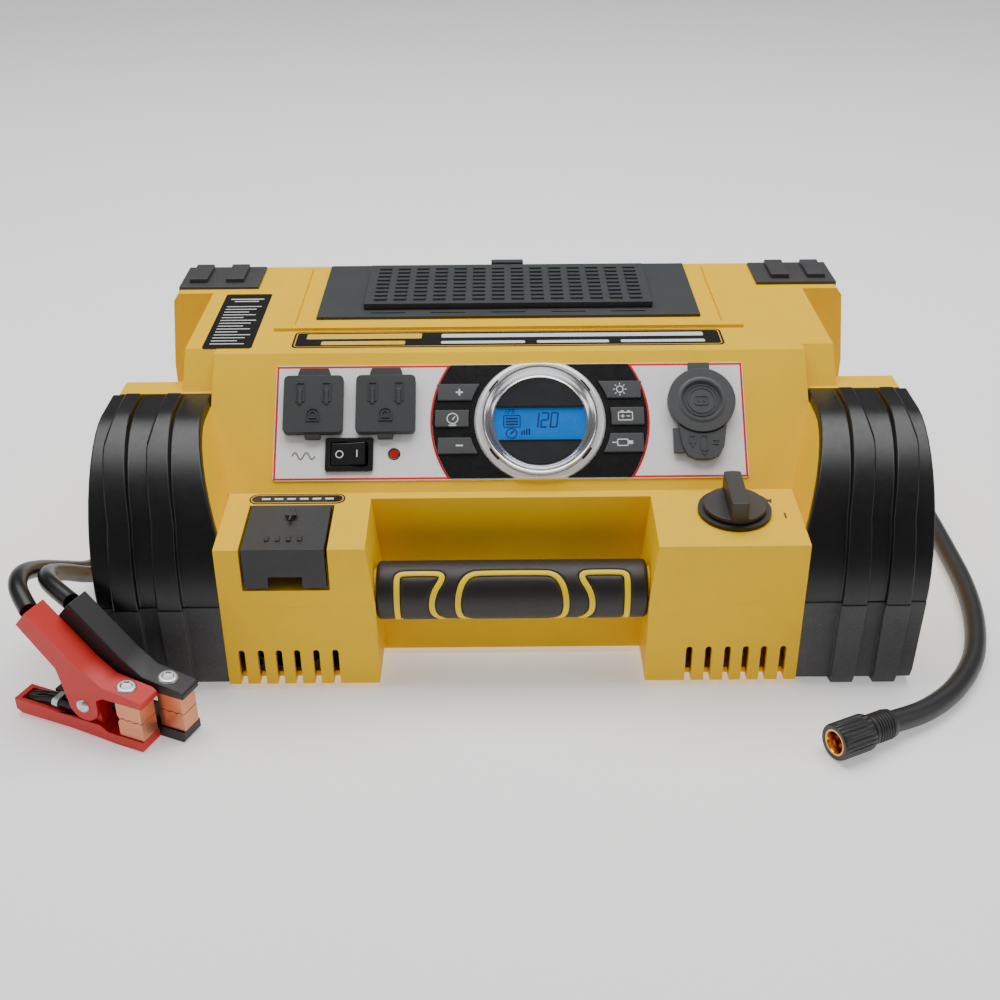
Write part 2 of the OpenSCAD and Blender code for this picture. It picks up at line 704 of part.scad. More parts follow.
clamp_w = 12;
clamp_angle = -24;
pivot_z = 17;
red_at = [-190.5, -28, 0];
black_at = [-173.5, -21.2, 0];

module clamp_frame(at) translate(at) rotate([0, 0, clamp_angle]) children();

// An (x, z) outline, w wide across the middle of the clamp
module across(points, w) slab(points, -w / 2, w / 2);

module upper_arm(at) clamp_frame(at) difference() {
    union() {
        across([[-30, 53], [-23, 61], [2, 38], [12, 31], [31, 28.5], [33, 27], [33, 24.4],
                [12, 24.4], [8, 22], [-7, 24], [-12, 34]], clamp_w);
        translate([0, clamp_w / 2, pivot_z]) rotate([90, 0, 0]) cylinder(r = 8, h = clamp_w);
        across([[-8, 17], [-12, 34], [8, 30], [8, 17]], clamp_w);
    }
    across([[-12, 36], [0, 33], [8.8, 26], [8.8, 0], [-9, 0], [-9, 17]], clamp_w - 4);
    translate([0, clamp_w, pivot_z]) rotate([90, 0, 0]) cylinder(d = 4.06, h = 2 * clamp_w);
}

module lower_arm(at) clamp_frame(at) difference() {
    union() {
        across([[-41, 3], [-38, 1.2], [-10, 1.5], [8, 0.6], [14, 0], [30, 0], [31, 1.2],
                [31, 5.6], [12, 5.6], [8, 8.4], [-16, 8.4], [-24, 9], [-41, 9]], clamp_w);
        across([[-7, 8], [-6, 20], [-3, 23], [3, 23], [6, 20], [8, 8]], clamp_w - 4.6);
    }
    across([[-38, 5], [-12, 5], [-12, 12], [-38, 12]], clamp_w - 4);
    translate([0, clamp_w, pivot_z]) rotate([90, 0, 0]) cylinder(d = 4.06, h = 2 * clamp_w);
}

function teeth(z, d) = [for (k = [0:6]) [19 + 2 * k, z + (k % 2 == 0 ? 0 : d)]];

module upper_jaw(at) clamp_frame(at)
    across(concat(teeth(15, 0.9), [[31, 24.3], [18, 24.3], [18, 17]]), 10.4);

module lower_jaw(at) clamp_frame(at)
    across(concat(teeth(14.7, 0.9), [[31, 5.7], [18, 5.7], [18, 13]]), 10.4);

module red_upper_arm() color(red) upper_arm(red_at);
module red_lower_arm() color(red) lower_arm(red_at);
module black_upper_arm() color(charcoal) upper_arm(black_at);
module black_lower_arm() color(charcoal) lower_arm(black_at);

module upper_jaws() {
    for (at = [red_at, black_at]) {
        color(copper) upper_jaw(at);
        color(steel) clamp_frame(at) translate([0, clamp_w / 2 + 0.4, pivot_z]) rotate([90, 0, 0])
            cylinder(d = 4, h = clamp_w + 0.8);
    }
}

module red_lower_jaw() color(copper) lower_jaw(red_at);
module black_lower_jaw() color(copper) lower_jaw(black_at);

// ---- nodes -------------------------------------------------------------------------------------

placed() upper_housing();
placed() lower_housing();
placed() bumper_upper_left();
placed() bumper_upper_right();
placed() bumper_lower_left();
placed() bumper_lower_right();
placed() rear_foot_left();
placed() rear_foot_right();
placed() handle_grip();
placed() top_plate();
placed() accessory_lid();
placed() lid_latch();
placed() control_label();
placed() keypad();
placed() lcd_bezel();
placed() lcd_module();
placed() power_led();
placed() button_plus();
placed() button_compressor();
placed() button_minus();
placed() button_light();
placed() button_battery();
placed() button_usb();
placed() ac_outlets();
placed() outlet_cover_left();
placed() outlet_cover_right();
placed() inverter_switch();
placed() inverter_rocker();
placed() dc_socket();
placed() dc_cap();
placed() usb_socket();
placed() usb_cover();
placed() battery_switch();
placed() battery_knob();
placed() charger_inlet();
placed() charger_cover();
placed() battery();
placed() inverter_board();
placed() transformer();
placed() charger_board();
placed() control_board();
placed() cooling_fan();
placed() fan_rotor();
placed() compressor();
placed() compressor_motor();
placed() housing_screws();
placed() area_light();
placed() cable_gland();
placed() hose_gland();
placed() cable_red();
placed() cable_black();
placed() air_hose();
placed() air_chuck();
placed() red_upper_arm();
placed() red_lower_arm();
placed() black_upper_arm();
placed() black_lower_arm();
placed() upper_jaws();
placed() red_lower_jaw();
placed() black_lower_jaw();
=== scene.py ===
"""Looks of the jump starter pack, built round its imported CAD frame. Lengths are in metres."""
import json
import math

import bmesh
import bpy
import numpy as np
from mathutils import Matrix, Vector


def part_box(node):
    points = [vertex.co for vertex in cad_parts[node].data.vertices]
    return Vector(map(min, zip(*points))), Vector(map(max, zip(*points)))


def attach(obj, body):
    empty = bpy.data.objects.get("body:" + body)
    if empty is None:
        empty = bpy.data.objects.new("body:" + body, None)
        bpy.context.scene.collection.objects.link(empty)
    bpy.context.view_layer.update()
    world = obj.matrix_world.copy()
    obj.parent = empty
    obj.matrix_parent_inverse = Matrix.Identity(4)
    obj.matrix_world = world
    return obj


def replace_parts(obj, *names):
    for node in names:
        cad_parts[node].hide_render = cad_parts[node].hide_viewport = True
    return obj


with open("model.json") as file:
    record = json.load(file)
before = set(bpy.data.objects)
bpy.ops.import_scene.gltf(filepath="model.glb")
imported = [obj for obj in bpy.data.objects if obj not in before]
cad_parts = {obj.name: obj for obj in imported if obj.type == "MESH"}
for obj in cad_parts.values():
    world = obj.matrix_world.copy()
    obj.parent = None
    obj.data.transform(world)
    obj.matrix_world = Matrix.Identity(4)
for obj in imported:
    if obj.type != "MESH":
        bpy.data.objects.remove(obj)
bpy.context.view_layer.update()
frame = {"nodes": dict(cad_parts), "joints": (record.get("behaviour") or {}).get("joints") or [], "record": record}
nodes = frame["nodes"]
joints = {j["name"]: j for j in frame["joints"]}
MM = 0.001
MID_Y = 112.5           # the drawing's Y runs from the front wall, this far in front of the origin


def drawn(x, y, z):
    """A point of the drawing, in millimetres, as a point of the frame in metres."""
    return Vector((x, y - MID_Y, z)) * MM


def middle(node):
    """The middle of a node's box."""
    low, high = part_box(node)
    return (low + high) / 2


# ---- camera, light and floor ---------------------------------------------------------------------

def look(position, pitch, yaw, roll, lens):
    """A camera turned by yaw about Z, pitched down, and rolled about its own view."""
    data = bpy.data.cameras.new("camera")
    data.lens = lens
    data.sensor_width = 36
    data.clip_start = 0.01
    camera = bpy.data.objects.new("camera", data)
    bpy.context.scene.collection.objects.link(camera)
    turn = (Matrix.Rotation(-yaw, 4, "Z") @ Matrix.Rotation(math.pi / 2 - pitch, 4, "X")
            @ Matrix.Rotation(roll, 4, "Z"))
    camera.matrix_world = Matrix.Translation(position) @ turn
    bpy.context.scene.camera = camera


look(drawn(-5.1, -512.9, 392.6), math.radians(29.52), math.radians(-0.01), math.radians(-0.51), 48.38)


def area_lamp(name, position, target, size, power):
    """A rectangular lamp at position that points at target."""
    data = bpy.data.lights.new(name, "AREA")
    data.shape = "RECTANGLE"
    data.size, data.size_y = size
    data.energy = power
    lamp = bpy.data.objects.new(name, data)
    bpy.context.scene.collection.objects.link(lamp)
    lamp.location = position
    lamp.rotation_euler = (Vector(target) - Vector(position)).to_track_quat("-Z", "Y").to_euler()


AIM = (0, 0, 0.05)                                # near the pack's middle
area_lamp("light_above", (0.0, 0.35, 1.5), AIM, (1.8, 1.2), 32)
area_lamp("light_left", (-1.3, -0.5, 0.8), AIM, (0.7, 0.9), 3)
area_lamp("light_right", (1.3, -0.5, 0.8), AIM, (0.7, 0.9), 3)

world = bpy.data.worlds.new("studio")
world.use_nodes = True
world.node_tree.nodes["Background"].inputs["Color"].default_value = (1, 1, 1, 1)
world.node_tree.nodes["Background"].inputs["Strength"].default_value = 0.16
bpy.context.scene.world = world


# ---- materials -----------------------------------------------------------------------------------

def linear(r, g, b):
    """An sRGB colour of 0 to 255 as linear values with alpha."""
    return tuple(((c / 255 + 0.055) / 1.055) ** 2.4 if c > 10 else c / 3295 for c in (r, g, b)) + (1.0,)


def material(name, color, rough, metal=0.0, vary=0.08, grain=0.12, grain_scale=2600, patch_scale=45,
             speckle=0.0, coat=0.0, glow=0.0, shine=0.5):
    """Moulded or metal surface: patches and speckles of colour, uneven gloss, and a fine grain."""
    mat = bpy.data.materials.new(name)
    mat.use_nodes = True
    tree = mat.node_tree
    new, link = tree.nodes.new, tree.links.new
    shader = tree.nodes["Principled BSDF"]
    shader.inputs["Metallic"].default_value = metal
    shader.inputs["Specular IOR Level"].default_value = shine
    if coat:
        shader.inputs["Coat Weight"].default_value = coat
        shader.inputs["Coat Roughness"].default_value = 0.12
    coords = new("ShaderNodeTexCoord")

    def noise(scale, detail, roughness):
        """A noise pattern fixed to the object."""
        node = new("ShaderNodeTexNoise")
        node.inputs["Scale"].default_value = scale
        node.inputs["Detail"].default_value = detail
        node.inputs["Roughness"].default_value = roughness
        link(coords.outputs["Object"], node.inputs["Vector"])
        return node.outputs["Fac"]

    patches = noise(patch_scale, 4, 0.6)
    fine = noise(grain_scale, 2, 0.7)
    ramp = new("ShaderNodeValToRGB")
    dark = [c * (1 - vary) for c in color[:3]]
    pale = [min(1, c * (1 + vary)) for c in color[:3]]
    ramp.color_ramp.elements[0].position = 0.3
    ramp.color_ramp.elements[0].color = (*dark, 1)
    ramp.color_ramp.elements[1].position = 0.7
    ramp.color_ramp.elements[1].color = (*pale, 1)
    link(patches, ramp.inputs["Fac"])
    surface = ramp.outputs["Color"]
    if speckle:
        spots = new("ShaderNodeMapRange")
        spots.inputs["From Min"].default_value = 0.62
        spots.inputs["From Max"].default_value = 0.78
        spots.inputs["To Max"].default_value = speckle
        link(noise(1500, 1, 0.5), spots.inputs["Value"])
        mix = new("ShaderNodeMix")
        mix.data_type = "RGBA"
        mix.inputs["B"].default_value = (0.5, 0.5, 0.5, 1)
        link(spots.outputs["Result"], mix.inputs["Factor"])
        link(surface, mix.inputs["A"])
        surface = mix.outputs["Result"]
    link(surface, shader.inputs["Base Color"])
    gloss = new("ShaderNodeMapRange")
    gloss.inputs["To Min"].default_value = max(0.03, rough - 0.08)
    gloss.inputs["To Max"].default_value = min(1.0, rough + 0.08)
    link(noise(patch_scale * 6, 3, 0.6), gloss.inputs["Value"])
    link(gloss.outputs["Result"], shader.inputs["Roughness"])
    bump = new("ShaderNodeBump")
    bump.inputs["Strength"].default_value = grain
    bump.inputs["Distance"].default_value = 0.0002
    link(fine, bump.inputs["Height"])
    link(bump.outputs["Normal"], shader.inputs["Normal"])
    if glow:
        link(surface, shader.inputs["Emission Color"])
        shader.inputs["Emission Strength"].default_value = glow
    return mat


YELLOW = material("yellow_plastic", linear(252, 200, 0), 0.5, vary=0.03, grain=0.06, shine=0.22)
GLOSS_RUBBER = material("smooth_black_rubber", linear(14, 14, 16), 0.34, vary=0.25, grain=0.12,
                        speckle=0.02)
TEXTURED_RUBBER = material("textured_black_rubber", linear(64, 64, 66), 0.6, vary=0.15, grain=0.6,
                           grain_scale=1300, speckle=0.12)
FOOT_GREY = material("foot_plastic", linear(58, 58, 60), 0.5, vary=0.12, grain=0.35, grain_scale=1500)
GRIP_RUBBER = material("grip_rubber", linear(30, 24, 22), 0.5, vary=0.15, grain=0.35, grain_scale=1600)
GRIP_INLAY = material("grip_inlay", linear(253, 212, 0), 0.45, vary=0.05, grain=0.05, shine=0.3)
LID_GREY = material("grey_plastic", linear(60, 62, 64), 0.55, vary=0.08, grain=0.3, grain_scale=1500,
                    shine=0.3)
LABEL_SILVER = material("label_silver", linear(250, 251, 252), 0.4, metal=0.05, vary=0.03, grain=0.03)
LABEL_RED = material("label_red", linear(232, 8, 14), 0.35, vary=0.05, grain=0.03)
LABEL_BLACK = material("label_black", linear(12, 12, 13), 0.28, vary=0.2, grain=0.04)
PRINT_WHITE = material("print_white", linear(225, 226, 228), 0.5, vary=0.04, grain=0.04)
PRINT_GREY = material("print_grey", linear(112, 112, 114), 0.5, vary=0.06, grain=0.04)
PRINT_DARK = material("print_dark", linear(58, 42, 18), 0.5, vary=0.1, grain=0.04)
PRINT_YELLOW = material("print_yellow", linear(235, 190, 60), 0.45, vary=0.05, grain=0.04)
CHROME = material("polished_ring", linear(228, 229, 232), 0.16, metal=1.0, vary=0.04, grain=0.03)
RING_WHITE = material("satin_ring", linear(236, 237, 238), 0.3, metal=0.3, vary=0.03, grain=0.03)
LCD_BLUE = material("lcd_blue", linear(0, 112, 205), 0.25, vary=0.06, grain=0.02, glow=0.12)
LCD_NAVY = material("lcd_navy", linear(14, 34, 92), 0.35, vary=0.1, grain=0.02)
LENS_BLACK = material("lens_black", linear(44, 45, 48), 0.18, vary=0.2, grain=0.02, coat=0.4)
BUTTON_GREY = material("button_rubber", linear(66, 68, 70), 0.55, vary=0.08, grain=0.3)
COVER_DARK = material("cover_rubber", linear(52, 53, 55), 0.5, vary=0.1, grain=0.35, grain_scale=1500)
COVER_GREY = material("cap_rubber", linear(70, 71, 73), 0.5, vary=0.1, grain=0.35, grain_scale=1500)
SWITCH_BLACK = material("switch_plastic", linear(26, 26, 27), 0.25, vary=0.15, grain=0.05)
KNOB_BLACK = material("knob_plastic", linear(46, 43, 40), 0.45, vary=0.12, grain=0.25)
CHARGER_BLACK = material("charger_plastic", linear(32, 32, 34), 0.5, vary=0.12, grain=0.3)
LED_RED = material("led_red", linear(190, 20, 12), 0.15, vary=0.2, grain=0.02, coat=0.5, glow=0.15)
CABLE_BLACK = material("cable_rubber", linear(12, 11, 11), 0.38, vary=0.2, grain=0.12, grain_scale=1800)
HOSE_GREY = material("hose_rubber", linear(44, 44, 46), 0.42, vary=0.12, grain=0.2, grain_scale=1600)
CHUCK_BLACK = material("chuck_plastic", linear(34, 34, 35), 0.35, vary=0.15, grain=0.15)
BRASS = material("brass", linear(226, 168, 84), 0.2, metal=1.0, vary=0.08, grain=0.05)
CLAMP_RED = material("clamp_red", linear(206, 28, 18), 0.45, vary=0.06, grain=0.2, grain_scale=1400)
CLAMP_BLACK = material("clamp_black", linear(34, 34, 36), 0.5, vary=0.1, grain=0.25, grain_scale=1400)
COPPER = material("copper", linear(222, 146, 108), 0.34, metal=0.85, vary=0.08, grain=0.2,
                  grain_scale=900)
STEEL = material("plated_steel", linear(214, 215, 218), 0.34, metal=0.9, vary=0.06, grain=0.06)
BATTERY_CASE = material("battery_case", linear(58, 60, 66), 0.5, vary=0.1, grain=0.2)
BOARD_GREEN = material("solder_mask", linear(28, 92, 52), 0.35, vary=0.15, grain=0.1)
WINDING = material("copper_winding", linear(176, 110, 54), 0.35, metal=0.5, vary=0.2, grain=0.4,
                   grain_scale=700)
FAN_BLACK = material("fan_plastic", linear(30, 30, 31), 0.5, vary=0.12, grain=0.15)
CAST_ALUMINIUM = material("cast_aluminium", linear(178, 180, 183), 0.42, metal=0.9, vary=0.1, grain=0.4,
                          grain_scale=900)
CLEAR_LENS = material("lamp_lens", linear(228, 232, 234), 0.12, vary=0.03, grain=0.05, coat=0.5)


def paint(mat, *names):
    """Gives CAD nodes one material."""
    for name in names:
        slots = nodes[name].data.materials
        if not slots:
            slots.append(mat)
        for k in range(len(slots)):
            slots[k] = mat


paint(YELLOW, "upper_housing", "lower_housing")
paint(GLOSS_RUBBER, "bumper_upper_left", "bumper_upper_right")
paint(TEXTURED_RUBBER, "bumper_lower_left", "bumper_lower_right")
paint(FOOT_GREY, "rear_foot_left", "rear_foot_right")
paint(GRIP_RUBBER, "handle_grip")
paint(LID_GREY, "top_plate", "accessory_lid", "lid_latch")
paint(LABEL_SILVER, "control_label")
paint(LABEL_BLACK, "keypad")
paint(CHROME, "lcd_bezel")
paint(LCD_BLUE, "lcd_module")
paint(LED_RED, "power_led")
paint(BUTTON_GREY, "button_plus", "button_compressor", "button_minus", "button_light",
      "button_battery", "button_usb")
paint(COVER_DARK, "ac_outlets", "outlet_cover_left", "outlet_cover_right")
paint(SWITCH_BLACK, "inverter_switch", "inverter_rocker")
paint(COVER_GREY, "dc_cap", "usb_cover")
paint(FAN_BLACK, "dc_socket", "cooling_fan", "fan_rotor", "battery_switch", "charger_inlet")
paint(STEEL, "usb_socket", "compressor_motor", "housing_screws")
paint(KNOB_BLACK, "battery_knob")
paint(CHARGER_BLACK, "charger_cover")
paint(BATTERY_CASE, "battery")
paint(BOARD_GREEN, "inverter_board", "charger_board", "control_board")
paint(WINDING, "transformer")
paint(CAST_ALUMINIUM, "compressor")
paint(CLEAR_LENS, "area_light")
paint(CABLE_BLACK, "cable_gland", "hose_gland", "cable_red", "cable_black")
paint(HOSE_GREY, "air_hose")
paint(CHUCK_BLACK, "air_chuck")
paint(CLAMP_RED, "red_upper_arm", "red_lower_arm")
paint(CLAMP_BLACK, "black_upper_arm", "black_lower_arm")
paint(COPPER, "upper_jaws", "red_lower_jaw", "black_lower_jaw")


# ---- mesh helpers --------------------------------------------------------------------------------

def piece(name, points, faces, mat, body, smooth=False):
    """A mesh object that rides on a body, with its faces turned outward."""
    mesh = bpy.data.meshes.new(name)
    mesh.from_pydata([tuple(p) for p in points], [], faces)
    tidy = bmesh.new()
    tidy.from_mesh(mesh)
    bmesh.ops.recalc_face_normals(tidy, faces=tidy.faces)
    tidy.to_mesh(mesh)
    tidy.free()
    mesh.materials.append(mat)
    if smooth:
        mesh.shade_smooth()
    obj = bpy.data.objects.new(name, mesh)
    bpy.context.scene.collection.objects.link(obj)
    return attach(obj, body)


def plates(name, outlines, place, low, high, mat, body):
    """Flat raised shapes: each outline is a list of (x, y) in millimetres, as deep as low to high."""
    points, faces = [], []
    for outline in outlines:
        first, count = len(points), len(outline)
        top = first + count
        points += [place @ (Vector((x, y, z)) * MM) for z in (low, high) for x, y in outline]
        faces.append(tuple(first + k for k in reversed(range(count))))
        faces.append(tuple(top + k for k in range(count)))
        faces += [(first + k, first + (k + 1) % count, top + (k + 1) % count, top + k)
                  for k in range(count)]
    return piece(name, points, faces, mat, body)


def bands(name, paths, width, place, low, high, mat, body, closed=True):
    """Flat raised lines of one width along paths of (x, y) in millimetres."""
    points, faces = [], []
    for path in paths:
        first, count = len(points), len(path)
        for k, (x, y) in enumerate(path):
            ahead = path[(k + 1) % count] if closed or k < count - 1 else path[k]
            behind = path[k - 1] if closed or k > 0 else path[k]
            along = Vector((ahead[0] - x, ahead[1] - y))
            back = Vector((x - behind[0], y - behind[1]))
            if along.length < 1e-9:
                along = back
            if back.length < 1e-9:
                back = along
            along.normalize()
            back.normalize()
            side = Vector((-(along + back).y, (along + back).x)).normalized()
            reach = width / 2 / max(0.4, side.dot(Vector((-along.y, along.x))))
            for w, z in ((-reach, low), (reach, low), (reach, high), (-reach, high)):
                points.append(place @ (Vector((x + side.x * w, y + side.y * w, z)) * MM))
        for k in range(count if closed else count - 1):
            a, b = first + 4 * k, first + 4 * ((k + 1) % count)
            faces += [(a + j, a + (j + 1) % 4, b + (j + 1) % 4, b + j) for j in range(4)]
        if not closed:
            last = first + 4 * (count - 1)
            faces += [(first, first + 1, first + 2, first + 3), (last + 3, last + 2, last + 1, last)]
    return piece(name, points, faces, mat, body)


def turned(name, profile, place, mat, body, sides=64, flutes=0, depth=0.0, fluted=(0, 0)):
    """A profile of (radius, z) in millimetres turned about Z, closed where its radius is 0.
    Points from fluted[0] up to fluted[1] of the profile are cut by flutes of the given depth."""
    points, faces = [], []
    count = len(profile)
    for k in range(sides):
        angle = 2 * math.pi * k / sides
        for j, (r, z) in enumerate(profile):
            if flutes and fluted[0] <= j < fluted[1]:
                r -= depth * (0.5 + 0.5 * math.cos(flutes * angle)) ** 2
            points.append(place @ (Vector((r * math.cos(angle), r * math.sin(angle), z)) * MM))
    for k in range(sides):
        a, b = k * count, (k + 1) % sides * count
        faces += [(a + j, b + j, b + j + 1, a + j + 1) for j in range(count - 1)]
    obj = piece(name, points, faces, mat, body)
    tidy = bmesh.new()
    tidy.from_mesh(obj.data)
    bmesh.ops.remove_doubles(tidy, verts=tidy.verts, dist=1e-6)
    bmesh.ops.recalc_face_normals(tidy, faces=tidy.faces)
    tidy.to_mesh(obj.data)
    tidy.free()
    obj.data.shade_smooth()
    obj.data.set_sharp_from_angle(angle=math.radians(38))
    return obj


def circle(r, x=0.0, y=0.0, sides=40, start=0.0, end=360.0):
    """Points of a circle or, where end is short of a full turn, of an arc with both its ends."""
    steps = sides if end - start >= 360 else sides - 1
    return [(x + r * math.cos(math.radians(start + (end - start) * k / steps)),
             y + r * math.sin(math.radians(start + (end - start) * k / steps))) for k in range(sides)]


def box_outline(x0, y0, x1, y1):
    """A rectangle with sharp corners."""
    return [(x0, y0), (x1, y0), (x1, y1), (x0, y1)]


def rounded(x0, y0, x1, y1, r):
    """A rectangle with round corners."""
    steps = 6
    corners = ((x1 - r, y0 + r, -90), (x1 - r, y1 - r, 0), (x0 + r, y1 - r, 90), (x0 + r, y0 + r, 180))
    return [(cx + r * math.cos(math.radians(a + 90 * k / steps)),
             cy + r * math.sin(math.radians(a + 90 * k / steps)))
            for cx, cy, a in corners for k in range(steps + 1)]


def shading_group(angle):
    """Node group that shades faces smooth and keeps the edges sharper than angle, in degrees."""
    group = bpy.data.node_groups.new(f"smooth_{angle}", "GeometryNodeTree")
    group.interface.new_socket("Geometry", in_out="INPUT", socket_type="NodeSocketGeometry")
    group.interface.new_socket("Geometry", in_out="OUTPUT", socket_type="NodeSocketGeometry")
    new, link = group.nodes.new, group.links.new
    source, result = new("NodeGroupInput"), new("NodeGroupOutput")
    faces, edges = new("GeometryNodeSetShadeSmooth"), new("GeometryNodeSetShadeSmooth")
    faces.domain, edges.domain = "FACE", "EDGE"
    edges.inputs["Shade Smooth"].default_value = False
    bend, limit = new("GeometryNodeInputMeshEdgeAngle"), new("FunctionNodeCompare")
    limit.operation = "GREATER_THAN"
    limit.inputs[1].default_value = math.radians(angle)
    link(bend.outputs["Unsigned Angle"], limit.inputs[0])
    link(limit.outputs["Result"], edges.inputs["Selection"])
    link(source.outputs[0], faces.inputs["Geometry"])
    link(faces.outputs["Geometry"], edges.inputs["Geometry"])
    link(edges.outputs["Geometry"], result.inputs[0])
    return group


SMOOTH = shading_group(34)


def soften(width, *names, segments=3, angle=32):
    """Rounds the sharp edges of CAD nodes by width, in millimetres, and evens out their shading."""
    for name in names:
        obj = nodes[name]
        weld = obj.modifiers.new("weld", "WELD")
        weld.merge_threshold = 2e-6
        flat = obj.modifiers.new("flat", "DECIMATE")
        flat.decimate_type = "DISSOLVE"
        flat.angle_limit = math.radians(0.4)
        bevel = obj.modifiers.new("bevel", "BEVEL")
        bevel.width = width * MM
        bevel.segments = segments
        bevel.limit_method = "ANGLE"
        bevel.angle_limit = math.radians(angle)
        obj.modifiers.new("shading", "NODES").node_group = SMOOTH
        normals = obj.modifiers.new("normals", "WEIGHTED_NORMAL")
        normals.keep_sharp = True


soften(1.2, "upper_housing", "lower_housing")
soften(0.9, "bumper_upper_left", "bumper_upper_right", "bumper_lower_left", "bumper_lower_right")
soften(0.5, "rear_foot_left", "rear_foot_right", segments=2)
soften(0.5, "top_plate", "accessory_lid", "lid_latch", segments=2)
soften(0.9, "outlet_cover_left", "outlet_cover_right", "dc_cap", "usb_cover")
soften(0.5, "button_plus", "button_compressor", "button_minus", "button_light", "button_battery",
       "button_usb", "inverter_switch", "inverter_rocker", "charger_cover", "battery_knob", segments=2)
soften(1.4, "red_upper_arm", "black_upper_arm", "red_lower_arm", "black_lower_arm")
soften(0.25, "upper_jaws", "red_lower_jaw", "black_lower_jaw", segments=2)
soften(0.4, "battery", "compressor", "transformer", "ac_outlets", segments=2)

# ---- cords ---------------------------------------------------------------------------------------

CABLE_D = 8.5
HOSE_D = 10.4
# Middle lines of the cords in the drawing, from the strain relief to the clamp or the chuck
ROUTES = {
    "cable_red": [(-35, 236, 22), (-35, 257, 21.5), (-43, 281, 16), (-64, 296, 10), (-95, 300, 6),
                  (-150, 298, 5), (-189, 286, 5), (-211, 259, 5), (-218, 222, 5), (-218, 175, 5),
                  (-217, 137, 5), (-218, 108, 7), (-221, 82, 17), (-225, 58, 32), (-228, 36, 46),
                  (-227.5, 14, 57), (-223, -4, 61), (-214.7, -17.2, 57.5)],
    "cable_black": [(-60, 236, 22), (-60, 252, 21.5), (-69, 272, 17), (-90, 284, 11), (-118, 287, 6.5),
                    (-150, 284, 5), (-180, 272, 5), (-199, 249, 5), (-205, 215, 5), (-205, 175, 5),
                    (-205, 135, 5), (-206, 108, 6), (-210, 84, 13), (-215, 62, 26), (-218, 42, 40),
                    (-218, 22, 52), (-211, 3, 59), (-197.7, -10.4, 57.5)],
    "air_hose": [(110, 236, 22), (110, 258, 21.5), (119, 282, 17.5), (141, 297, 12), (168, 298, 6.8),
                 (202, 286, 5.6), (226, 261, 5.6), (235, 228, 5.6), (237, 190, 5.6), (238, 150, 5.6),
                 (238, 110, 5.6), (237, 75, 5.6), (232, 42, 5.6), (222, 12, 5.6), (206, -12, 5.6),
                 (188, -28, 6), (169, -38.5, 7.6)],
}


def cord_curve(name, route, diameter, mat, node):
    """A round tube along one smooth spline through the route's points."""
    data = bpy.data.curves.new(name, "CURVE")
    data.dimensions = "3D"
    data.bevel_depth = diameter / 2 * MM
    data.bevel_resolution = 8
    data.resolution_u = 10
    data.use_fill_caps = True
    spline = data.splines.new("BEZIER")
    spline.bezier_points.add(len(route) - 1)
    for k, point in enumerate(route):
        knot = spline.bezier_points[k]
        knot.co = drawn(*point)
        # handles along the chord of the neighbours, as the CAD tube's own spline has
        ahead, behind = drawn(*route[min(k + 1, len(route) - 1)]), drawn(*route[max(k - 1, 0)])
        knot.handle_left_type = knot.handle_right_type = "FREE"
        knot.handle_left = knot.co - (ahead - behind) / 6
        knot.handle_right = knot.co + (ahead - behind) / 6
    data.materials.append(mat)
    obj = bpy.data.objects.new(name, data)
    bpy.context.scene.collection.objects.link(obj)
    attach(obj, "root")
    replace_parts(obj, node)
    return obj


red_cable = cord_curve("red_clamp_cable", ROUTES["cable_red"], CABLE_D, CABLE_BLACK, "cable_red")
black_cable = cord_curve("black_clamp_cable", ROUTES["cable_black"], CABLE_D, CABLE_BLACK,
                         "cable_black")
hose = cord_curve("hose_tube", ROUTES["air_hose"], HOSE_D, HOSE_GREY, "air_hose")

# ---- chuck at the end of the hose ----------------------------------------------------------------

chuck_end = drawn(*ROUTES["air_hose"][-1])
chuck_way = Vector(next(m for m in frame["record"]["mounts"] if m["name"] == "tyre_valve_bore")["axis"])
chuck_place = Matrix.Translation(chuck_end) @ chuck_way.to_track_quat("Z", "Y").to_matrix().to_4x4()


def ferrule_profile():
    """Ferrule crimped on the hose: a smooth end and six grooves."""
    profile = [(0, 0), (5.9, 0), (6.6, 0.8), (6.8, 2.2)]
    for k in range(6):
        z = 3 + 1.5 * k
        profile += [(6.95, z), (6.4, z + 0.35), (6.4, z + 0.8), (6.95, z + 1.15)]
    return profile + [(6.95, 12.8), (6.3, 13.4), (5.8, 14.4), (0, 14.4)]


ferrule = turned("hose_ferrule", ferrule_profile(), chuck_place, HOSE_GREY, "root")
sleeve = turned("chuck_sleeve", [(0, 14.42), (7.6, 14.42), (8.3, 15), (8.5, 15.8), (8.5, 19), (8.5, 23),
                                 (8.5, 27), (8.5, 31.2), (8.3, 32), (7.9, 32.4), (6.3, 32.4), (6.3, 24),
                                 (0, 24)],
                chuck_place, CHUCK_BLACK, "root", sides=144, flutes=24, depth=0.55, fluted=(3, 8))
insert = turned("chuck_insert", [(4.8, 24.05), (4.8, 31.4), (5.2, 32.1), (6.1, 32.2), (6.25, 31.8),
                                 (6.25, 24.05)], chuck_place, BRASS, "root", sides=96)
pin = turned("chuck_pin", [(0, 24.02), (3.2, 24.02), (3.2, 24.8), (1.5, 24.9), (1.3, 27.5), (0.7, 28),
                           (0, 28)], chuck_place, BRASS, "root", sides=32)
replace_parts(sleeve, "air_chuck")

# ---- places on the object ------------------------------------------------------------------------

def plane_at(origin, normal):
    """Axes on a face: X along the pack, Y up the face, Z out of it."""
    across = Vector((1, 0, 0))
    up = normal.cross(across)
    return Matrix.Translation(origin) @ Matrix((across, up, normal)).transposed().to_4x4()


